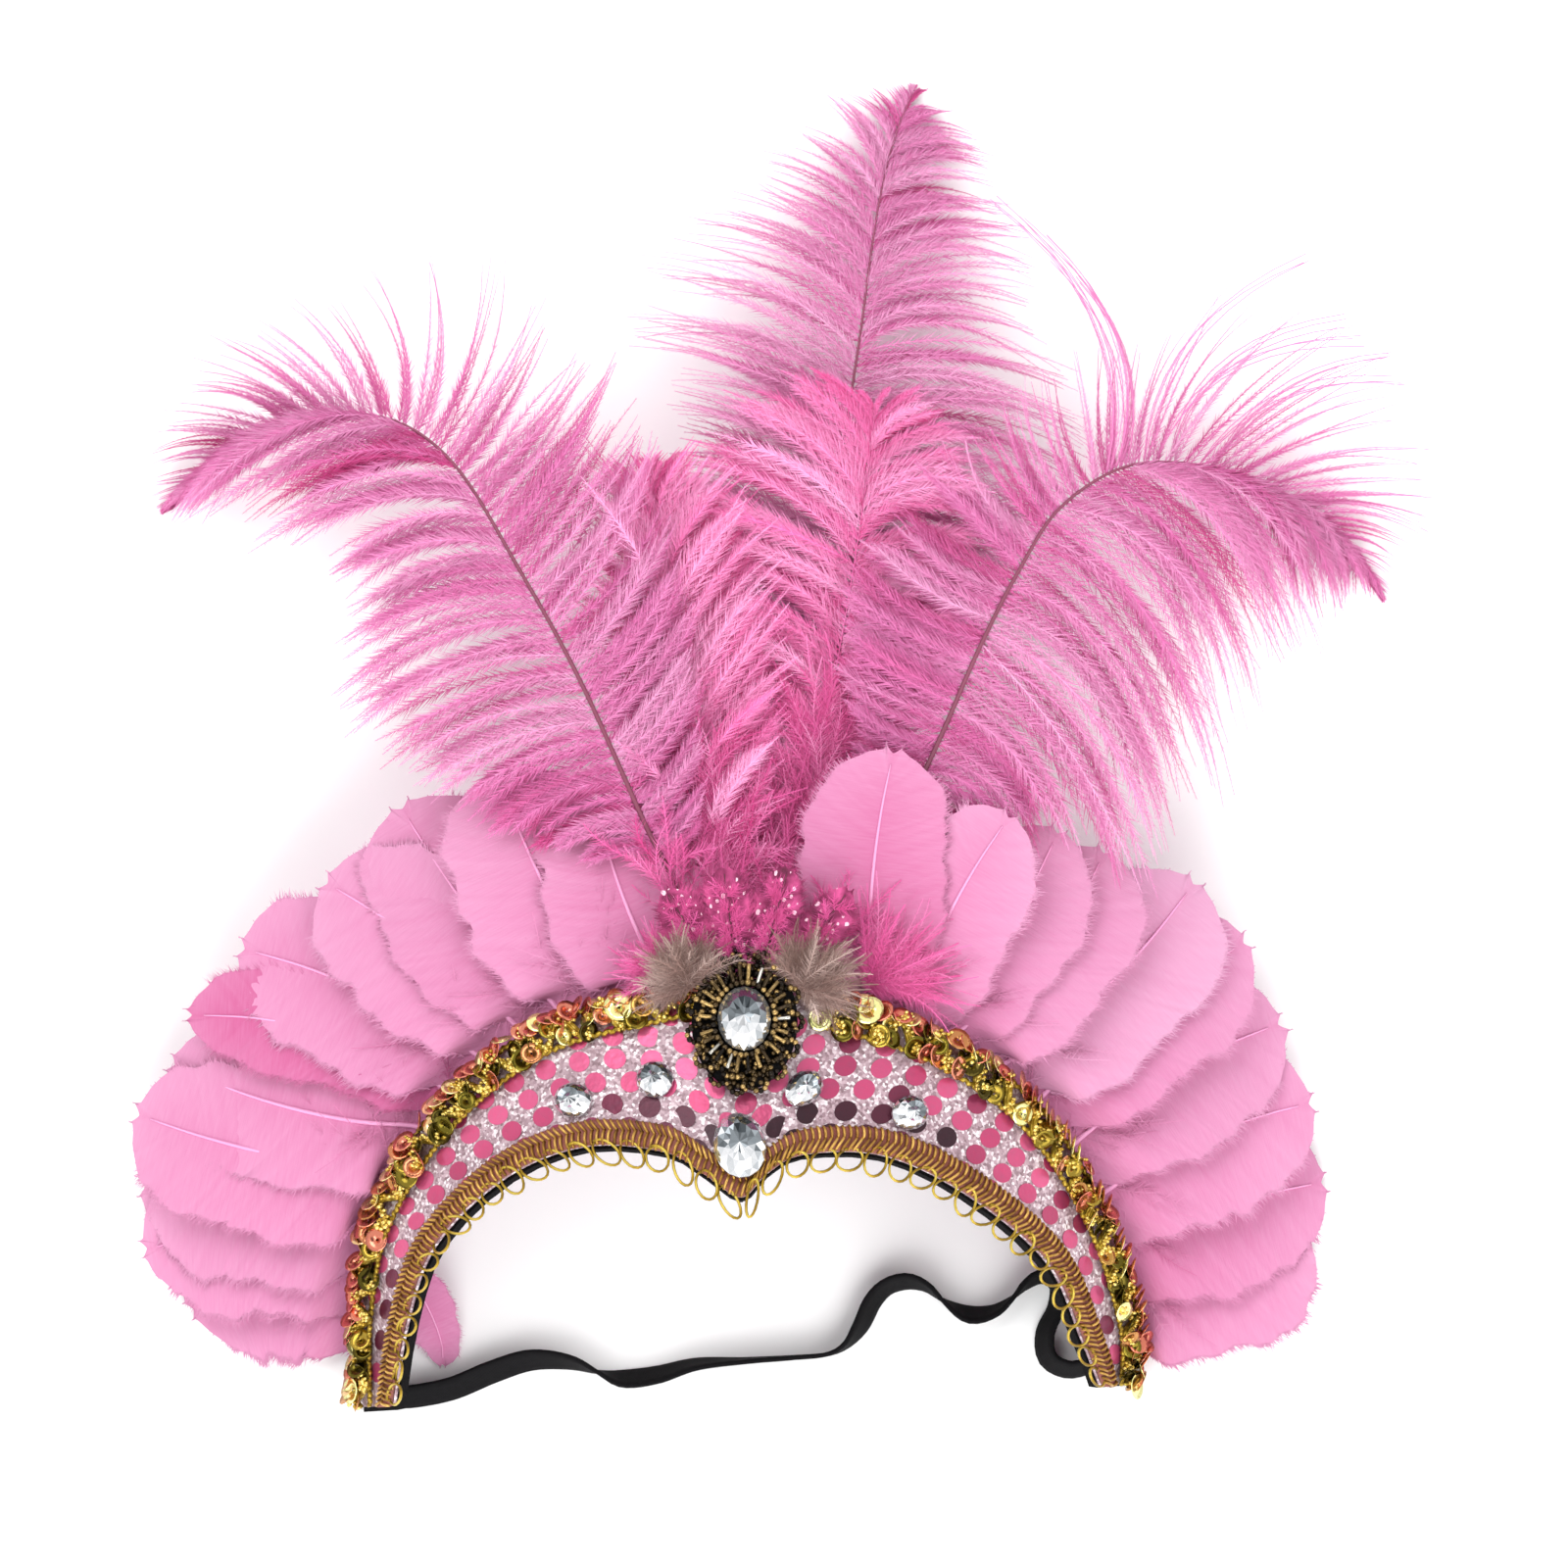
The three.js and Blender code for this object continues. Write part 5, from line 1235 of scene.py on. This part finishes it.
def cup_sequin(radius, hole, depth, thick, sides=14):
    """A thin cupped disc with a hole, its hollow side up."""
    bend, bend_depth = radius * 0.62, depth * 0.25
    section = [(hole, 0.0), (bend, bend_depth), (radius, depth),
               (radius, depth - thick), (bend, bend_depth - thick), (hole, -thick)]
    points = [[r * math.cos(a), r * math.sin(a), z] for r, z in section for a in full_turn(sides)]
    triangles = []
    for ring in range(len(section)):
        for s in range(sides):
            n = (s + 1) % sides
            a, b = ring * sides + s, ring * sides + n
            c, d = (ring + 1) % len(section) * sides + s, (ring + 1) % len(section) * sides + n
            triangles += [[a, c, d], [a, d, b]]
    return np.array(points), np.array(triangles)


class Trim:
    """One sequin trim while it is made: the band's places and directions under it and its random draws."""

    def __init__(self, name):
        self.start, self.end, seed, self.pale = TRIMS[name]
        self.rng = np.random.default_rng(seed)
        self.shape = Shape()
        self.fine = band_walk(TRIM_STEP, 30, self.start, self.end)
        _, onward, upward, self.front, self.width = band_frame(self.fine, 0.5)
        self.turns = np.stack([onward, upward, self.front], -1)
        self.walked = np.arange(len(self.fine)) * TRIM_STEP

    def add_cord(self, from_outer, lift, radius, tint):
        """A cord of metal thread along the trim."""
        path = band_point(self.fine, self.width - from_outer, lift)
        add_tubes(self.shape, path[None], radius, 5, reference=self.front.mean(0), tint=tint[None], slot=0)

    def add_scroll(self):
        """A scrolling cord of twisted strands under the sequins, and a plain cord along either side."""
        for strand, phase in enumerate(full_turn(SCROLL_STRANDS)):
            swing = 2.6 * np.sin(self.walked * 2 * math.pi / SCROLL_PITCH + strand * 0.16)
            lift = ON_COVER + 1.1 + 0.5 * math.sin(phase) + 0.2 * np.sin(self.walked * 2.1 + phase)
            self.add_cord(SCROLL_MIDDLE - swing - 0.55 * math.cos(phase), lift, 0.42,
                          0.55 + 0.25 * np.sin(self.walked * 5 + phase))
        for edge in SIDE_CORDS:
            self.add_cord(edge - 0.3 * np.sin(self.walked * 3), ON_COVER + 0.75, 0.6,
                          0.45 + 0.3 * np.sin(self.walked * 4))

    def add_beads(self):
        """Seed beads in clusters along the scroll."""
        rng = self.rng
        bead, faces = ball(3, 6)
        count = int(len(self.fine) * TRIM_STEP * BEADS_PER_MM)
        at = rng.random(count) * (len(self.fine) - 1)
        index = at.astype(int)
        swing = 2.9 * np.sin(at * TRIM_STEP * 2 * math.pi / SCROLL_PITCH)
        width = self.width[index]
        across = np.clip(width - 4.4 + swing + rng.normal(0, 1.0, count), width - 8.7, width + 0.4)
        places = band_point(self.fine[index], across, ON_COVER + 1.3 + 0.9 * rng.random(count))
        turns = self.turns[index] * (0.5 + 0.2 * rng.random(count))[:, None, None]
        add_copies(self.shape, bead, faces, turns, places, rng.random(count) * 0.5 + 0.45, 1)

    def add_sequins(self):
        """Overlapping cup sequins that lean every way, then larger pale ones that lie flat."""
        rng = self.rng
        disc, faces = cup_sequin(SEQUIN_RADIUS, 0.3, 0.5, 0.12)
        for from_outer, pitch, lean_along, lean_across, coral in SEQUIN_ROWS:
            spots = band_walk(pitch, 30, self.start + 0.03, self.end - 0.03)
            _, onward, upward, front, width = band_frame(spots, 0.5)
            n = len(spots)
            # The inner rows thin out and close up against the swing of the scroll
            scroll = np.sin(np.arange(n) * pitch * 2 * math.pi / SCROLL_PITCH + math.pi)
            keep = rng.random(n) < (0.9 if coral else 0.5 + 0.45 * scroll)
            offset = width - from_outer + rng.normal(0, 0.35, n)
            centre = band_point(spots, offset, 0) + front * (ON_COVER + 1.6 + 0.7 * rng.random(n))[:, None]
            along = rng.normal(lean_along, 0.35, n) * rng.choice([1, -1], n, p=[0.75, 0.25])
            across = rng.normal(lean_across, 0.3, n)
            axis = unit(front + onward * along[:, None] + upward * across[:, None])
            first = unit(np.cross(axis, upward))
            size = rng.uniform(0.85, 1.1, n)[:, None, None]
            turns = np.stack([first, np.cross(axis, first), axis], -1) * size
            tint = rng.random(n) * 0.5 + 0.48 if coral else rng.random(n) ** 1.5 * 0.9
            tint = np.where(rng.random(n) < 0.05, 1.0, tint)
            add_copies(self.shape, disc, faces, turns[keep], centre[keep], tint[keep], 2)
        for spot, inwards in self.pale:
            _, onward, upward, front, width = band_frame(spot, 0.5)
            turns = np.stack([onward, upward, front], -1) * PALE_SIZE
            centre = band_point(spot, width - inwards, ON_COVER + 2.6)
            add_copies(self.shape, disc, faces, turns, centre, 1.0, 2)


def make_trim(name):
    """A sequin trim: its cords, its beads and its sequins."""
    trim = Trim(name)
    trim.add_scroll()
    trim.add_beads()
    trim.add_sequins()
    piece = trim.shape.make("beaded_" + name, [LUREX, GOLD_BEADS, SEQUINS])
    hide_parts(name)


for trim_name in TRIMS:
    make_trim(trim_name)


# Gimp braid and its wire loops
BRAID_LOW = BRAID_INSET - 0.6
BRAID_HIGH = BRAID_INSET + BRAID_WIDTH
# The core's section: from the band's lower edge, and above the cover
BRAID_SECTION = [
    (BRAID_LOW, 0.0), (BRAID_LOW, 0.8), (BRAID_LOW + 0.8, 1.15), (BRAID_INSET + BRAID_WIDTH / 2, 0.95),
    (BRAID_HIGH - 0.8, 1.15), (BRAID_HIGH, 0.8), (BRAID_HIGH, 0.0)]
# Rows of slanting coils: which way they slant, and where they start and end above the band's lower edge
COIL_ROWS = [(1, BRAID_LOW - 0.1, BRAID_INSET + 3.0), (-1, BRAID_INSET + 2.5, BRAID_HIGH + 0.1)]
COIL_PITCH = 1.45
COIL_STEPS = 9
COIL_WIRE = 0.34
LOOP_PITCH = 6.15
LOOP_STEPS = 22
LOOP_WIRE = 0.33
LOOP_WIDE = 2.75
LOOP_TALL = 3.2
LOOP_BELOW = -2.0


def add_coils(shape, rng):
    """Slanting coils of gold thread over the core, in two rows."""
    places = band_walk(COIL_PITCH, 3.6, TRIM_END + 0.02, LAST_ROW - TRIM_END - 0.02)
    n = len(places)
    _, onward, _, _, _ = band_frame(places, 0.5)
    t = np.linspace(0, 1, COIL_STEPS)
    for hand, low, high in COIL_ROWS:
        paths = []
        for share in t:
            lift = ON_COVER + 0.75 + 0.95 * math.sin(math.pi * share) ** 0.7
            slant = hand * (share - 0.5) * 1.25
            paths.append(band_point(places, low + (high - low) * share, lift) + onward * slant)
        paths = np.stack(paths, 1) + rng.normal(0, 0.05, (n, 1, 3))
        # A painted highlight: each coil is painted lighter towards its crest, where it stands highest
        shade = 0.5 + rng.normal(0, 0.14, n)[:, None] + 0.18 * np.sin(math.pi * t)[None, :]
        add_tubes(shape, paths, COIL_WIRE, 6, reference=onward[:, None], tint=shade, slot=1)


def add_loops(shape, rng):
    """Wire loops below the lower edge, each a little different and crossed where they meet the braid."""
    places = band_walk(LOOP_PITCH, 0.0, 0.12, LAST_ROW - 0.12)
    n = len(places)
    _, onward, upward, front, _ = band_frame(places, 0.0)
    turn = np.linspace(math.pi * 0.30, math.pi * 2.70, LOOP_STEPS)
    wide = LOOP_WIDE * (1 + rng.normal(0, 0.07, n))
    tall = LOOP_TALL * (1 + rng.normal(0, 0.08, n))
    lean = rng.normal(0, 0.16, n)
    centre = band_point(places, LOOP_BELOW, ON_COVER + 0.9)
    y = np.sin(turn)[None, :] * tall[:, None]
    x = np.cos(turn)[None, :] * wide[:, None] + lean[:, None] * y
    wave = 0.5 * np.sin(turn)[None, :] * rng.normal(0, 1, n)[:, None]
    wave = wave + np.linspace(-0.4, 0.4, LOOP_STEPS)[None, :]
    paths = centre[:, None]
    for axis, step in ((onward, x), (upward, y), (front, wave)):
        paths = paths + axis[:, None] * step[..., None]
    # A painted highlight: each loop is painted lighter on two opposite quarters and darker on the other two
    tint = 0.55 + 0.25 * np.sin(turn * 2)[None, :]
    add_tubes(shape, paths, LOOP_WIRE, 6, reference=front[:, None], tint=tint, slot=2)


def make_braid():
    """The gimp braid: its core, the coils over it and the wire loops below it."""
    rng = np.random.default_rng(51)
    shape = Shape()
    along = np.linspace(TRIM_END, LAST_ROW - TRIM_END, BAND_STEPS)
    grid = np.stack([band_point(along, low, ON_COVER + lift) for low, lift in BRAID_SECTION], 1)
    shape.add(grid, loft_triangles(BAND_STEPS, len(BRAID_SECTION)), 0.4)
    add_coils(shape, rng)
    add_loops(shape, rng)
    piece = shape.make("looped_braid", [GIMP_CORE, GIMP_GOLD, LUREX])
    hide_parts("gimp_braid")


make_braid()


# Stones and the brooch: the brooch's middle along and across the band, its radii, how far its back lies above
# the base, and how thick it is under its stone
BROOCH_ALONG = 7.0
BROOCH_ACROSS = 0.8
BROOCH_WIDE = 13.4
BROOCH_TALL = 17.2
BROOCH_LIFT = ON_COVER + BLADE_THICK + 2 * GAP + 0.8
BROOCH_THICK = 1.8
# Where each stone lies along and across the band, its radii, how far above the base it starts and its height
ROUND_STONE = [4.4, 4.4, ON_COVER, 3.2]
OVAL_RADII = [6.0, 7.4]
STONES = {
    "stone_left_outer": [4.07, 0.36, *ROUND_STONE],
    "stone_left_inner": [4.9, 0.44, *ROUND_STONE],
    "stone_right_inner": [8.7, 0.42, *ROUND_STONE],
    "stone_right_outer": [10.02, 0.36, *ROUND_STONE],
    "peak_stone": [6.94, 0.225, *OVAL_RADII, ON_BRAID + 0.8, 4.6],
    "brooch_stone": [BROOCH_ALONG, BROOCH_ACROSS, *OVAL_RADII, BROOCH_LIFT + BROOCH_THICK + GAP, 4.8],
}
STONE_SIDES = 16
# Rings of a stone from its girdle to the facets of its foil back that show in its table: radius and height
# as shares of the stone's, and the twist in facets. The last one is the point in the middle.
STONE_RINGS = [(0.94, 0.0, 0), (1.0, 0.12, 0), (1.0, 0.3, 0), (0.84, 0.62, 0.5), (0.6, 0.93, 0),
               (0.33, 0.78, 0.5), (0.0, 1.0, 0)]


def make_stone(name, seed):
    """A cut stone: girdle, crown in two rows of facets, and a table that shows the facets of its back."""
    along, across, radius_along, radius_across, lift, height = STONES[name]
    rng = np.random.default_rng(seed)
    point, onward, upward, front, _ = (part[0] for part in band_frame(along, across))
    points = []
    for radius, rise, twist in STONE_RINGS[:-1]:
        for k in range(STONE_SIDES):
            turn = 2 * math.pi * (k + twist) / STONE_SIDES
            jag = 1 if radius > 0.5 else 1 + rng.normal(0, 0.16)
            points.append([radius * jag * radius_along * math.cos(turn),
                           radius * jag * radius_across * math.sin(turn), rise * height])
            # A draw that nothing takes: the seeds of the stones were chosen with it
            rng.random()
    points.append([0, 0, STONE_RINGS[-1][1] * height])
    triangles = []
    for ring in range(len(STONE_RINGS) - 2):
        twists_on = STONE_RINGS[ring + 1][2] > STONE_RINGS[ring][2]
        for k in range(STONE_SIDES):
            n = (k + 1) % STONE_SIDES
            a, b = ring * STONE_SIDES + k, ring * STONE_SIDES + n
            c, d = a + STONE_SIDES, b + STONE_SIDES
            triangles += [[a, b, c], [b, d, c]] if twists_on else [[a, b, d], [a, d, c]]
    top = (len(STONE_RINGS) - 2) * STONE_SIDES
    triangles += [[top + k, top + (k + 1) % STONE_SIDES, len(points) - 1] for k in range(STONE_SIDES)]
    triangles += [[0, k + 1, k] for k in range(1, STONE_SIDES - 1)]

    # Every facet gets points of its own, so that each takes one shade: many near the middle, towards the
    # band's upper edge, are painted dark and the rest bright, as a painted reflection
    axes = np.stack([onward, upward, front], -1)
    triangles = np.array(triangles)
    points = np.array(points) @ axes.T + point + front * lift
    local = (points[triangles].mean(1) - point) @ axes / [radius_along, radius_across, height]
    count = len(local)
    dim = (local[:, 1] > -0.08 + rng.normal(0, 0.14, count)) & (np.hypot(local[:, 0], local[:, 1]) < 0.8)
    shade = np.where(dim, 0.08 + 0.3 * rng.random(count), 0.62 + 0.38 * rng.random(count))
    shape = Shape()
    shape.add(points[triangles.ravel()], np.arange(triangles.size), np.repeat(shade, 3))
    piece = shape.make("cut_" + name, [STONE], smooth=False)
    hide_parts(name)


for number, stone_name in enumerate(STONES):
    make_stone(stone_name, 61 + number)


# Two layers of the brooch's lobes: how many, their size against the brooch, their height, how many beads each
# has and how large the beads are
LOBE_LAYERS = [(15, 1.0, 0.9, 11, 0.72), (13, 0.8, 2.0, 10, 0.68)]
LOBE_INSET = 2.5
LOBE_LONG = 2.0
LOBE_WIDE = 1.9
BACKING_INSET = 1.6
LOOSE_BEADS = 190
RING_BEADS = 34
RING_RADII = (6.95, 8.4)
RAYS = 26
RAY_START = np.array([7.3, 8.8])
RAY_END = np.array([10.2, 12.4])


class Brooch:
    """The brooch while it is made: its own directions, its shape and its random draws."""

    def __init__(self):
        self.rng = np.random.default_rng(71)
        point, _, upward, self.front, _ = (part[0] for part in band_frame(BROOCH_ALONG, BROOCH_ACROSS))
        self.axes = np.stack([np.cross(upward, self.front), upward, self.front], -1)
        self.origin = point + self.front * BROOCH_LIFT
        self.shape = Shape()
        self.bead = ball(5, 8)

    def place(self, local):
        """Points of the brooch's own frame in the frame of the band."""
        return np.asarray(local) @ self.axes.T + self.origin

    def add_backing(self):
        points, faces = flat_disc(BROOCH_WIDE - BACKING_INSET, BROOCH_TALL - BACKING_INSET, 0.9, 1.2, 60)
        self.shape.add(self.place(points), faces, 0.2)

    def add_beads(self, spots, size, tint):
        size = size * (0.92 + 0.16 * self.rng.random(len(spots)))
        add_copies(self.shape, *self.bead, self.axes[None] * size[:, None, None], self.place(spots), tint, 1)

    def add_lobes(self):
        """Small loops of beads round the rim, in two layers."""
        rng = self.rng
        for lobes, shrink, rise, beads_each, size in LOBE_LAYERS:
            radii = np.array([BROOCH_WIDE, BROOCH_TALL]) * shrink - LOBE_INSET
            for lobe in range(lobes):
                a = 2 * math.pi * (lobe + 0.5 * (shrink < 1)) / lobes
                out = np.array([math.cos(a), math.sin(a)])
                side = np.array([-out[1], out[0]])
                spots = []
                for b in full_turn(beads_each):
                    loop = out * radii + out * LOBE_LONG * math.cos(b) + side * LOBE_WIDE * math.sin(b)
                    spots.append([*loop, rise + 0.5 * rng.random()])
                tint = rng.random(beads_each) ** 1.6
                self.add_beads(spots, size, tint)

    def add_fill(self):
        """Loose beads between the lobes and the stone, and a ring of beads that holds the stone."""
        rng = self.rng
        fill = []
        while len(fill) < LOOSE_BEADS:
            x, y = rng.uniform(-1, 1, 2)
            if 0.56 < math.hypot(x, y) < 0.9:
                fill.append([x * BROOCH_WIDE, y * BROOCH_TALL, 1.5 + 1.6 * rng.random()])
        size = rng.uniform(0.5, 0.78, len(fill))
        tint = rng.random(len(fill)) ** 1.4
        self.add_beads(fill, size, tint)
        wide, tall = RING_RADII
        ring = [[math.cos(a) * wide, math.sin(a) * tall, 3.3] for a in full_turn(RING_BEADS)]
        tint = rng.random(RING_BEADS)
        self.add_beads(ring, 0.78, tint)

    def add_rays(self):
        """Bugle beads that stand out from the stone like rays, a few of them silver."""
        rng = self.rng
        paths = []
        for k in range(RAYS):
            a = 2 * math.pi * (k + rng.normal(0, 0.12)) / RAYS
            out = np.array([math.cos(a), math.sin(a)])
            inner = np.array([*(out * RAY_START), 3.6])
            outer = np.array([*(out * RAY_END), 3.9 + 0.8 * rng.random()])
            paths.append([inner + (outer - inner) * s for s in np.linspace(0, 1, 4)])
        paths = self.place(paths)
        tints = rng.random(RAYS)[:, None]
        silver = rng.random(RAYS) < 0.2
        for chosen, radius, slot in ((silver, 0.42, 2), (~silver, 0.48, 1)):
            add_tubes(self.shape, paths[chosen], radius, 6, self.front, tints[chosen], slot)


def make_brooch():
    """The beaded brooch on its felt backing."""
    brooch = Brooch()
    brooch.add_backing()
    brooch.add_lobes()
    brooch.add_fill()
    brooch.add_rays()
    piece = brooch.shape.make("beaded_brooch", [FELT, BRONZE, SILVER])
    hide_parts("centre_brooch")


make_brooch()


# The base keeps its CAD mesh and takes the felt
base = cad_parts["band_base"]
base.data.materials.clear()
base.data.materials.append(FELT)


# Floor and light: how far the floor reaches, then the place, width and power of each lamp, in metres and
# watts
FLOOR_REACH = 3.0
LIGHTS = {
    "key_light": ((-0.8, 1.0, 1.9), 1.6, 22),
    "fill_light": ((1.1, -0.7, 1.7), 1.6, 12),
    "front_light": ((0.0, -1.7, 1.2), 1.8, 26),
}
# The surroundings' strength, and their shade up to a height and in the patch above it
SURROUNDINGS = 1.12
WHITE_TO = (0.9, (1, 1, 1, 1))
DIM_FROM = (0.97, (0.10, 0.11, 0.12, 1))


def make_floor():
    """A pale floor."""
    mesh = bpy.data.meshes.new("floor")
    corners = [(x * FLOOR_REACH, y * FLOOR_REACH, 0) for x, y in ((-1, -1), (1, -1), (1, 1), (-1, 1))]
    mesh.from_pydata(corners, [], [(0, 1, 2, 3)])
    floor = bpy.data.objects.new("floor", mesh)
    bpy.context.collection.objects.link(floor)
    look = Look("pale_floor", 0.9, Specular_IOR_Level=0.1)
    look.link("Base Color", look.ramp(look.noise(4, 1), (0.0, (250, 250, 250)), (1.0, (253, 253, 253))))
    mesh.materials.append(look.material)


def add_light(name, place, size, energy):
    """A round lamp that points at the origin."""
    data = bpy.data.lights.new(name, "AREA")
    data.shape = "DISK"
    data.size = size
    data.energy = energy
    light = bpy.data.objects.new(name, data)
    light.location = place
    bpy.context.collection.objects.link(light)
    light.rotation_mode = "QUATERNION"
    light.rotation_quaternion = (-Vector(place)).to_track_quat("-Z", "Y")


def make_world():
    """Even white surroundings with a dim patch overhead, as a camera and its stand leave in a light tent."""
    world = bpy.data.worlds.new("surroundings")
    bpy.context.scene.world = world
    world.use_nodes = True
    nodes, links = world.node_tree.nodes, world.node_tree.links
    background = nodes["Background"]
    split = nodes.new("ShaderNodeSeparateXYZ")
    ramp = nodes.new("ShaderNodeValToRGB")
    links.new(nodes.new("ShaderNodeTexCoord").outputs["Generated"], split.inputs[0])
    links.new(split.outputs["Z"], ramp.inputs["Fac"])
    for element, (height, shade) in zip(ramp.color_ramp.elements, (WHITE_TO, DIM_FROM)):
        element.position = height
        element.color = shade
    links.new(ramp.outputs["Color"], background.inputs["Color"])
    background.inputs["Strength"].default_value = SURROUNDINGS


make_floor()
make_world()
for light_name, settings in LIGHTS.items():
    add_light(light_name, *settings)
bpy.context.scene.view_settings.view_transform = "Standard"
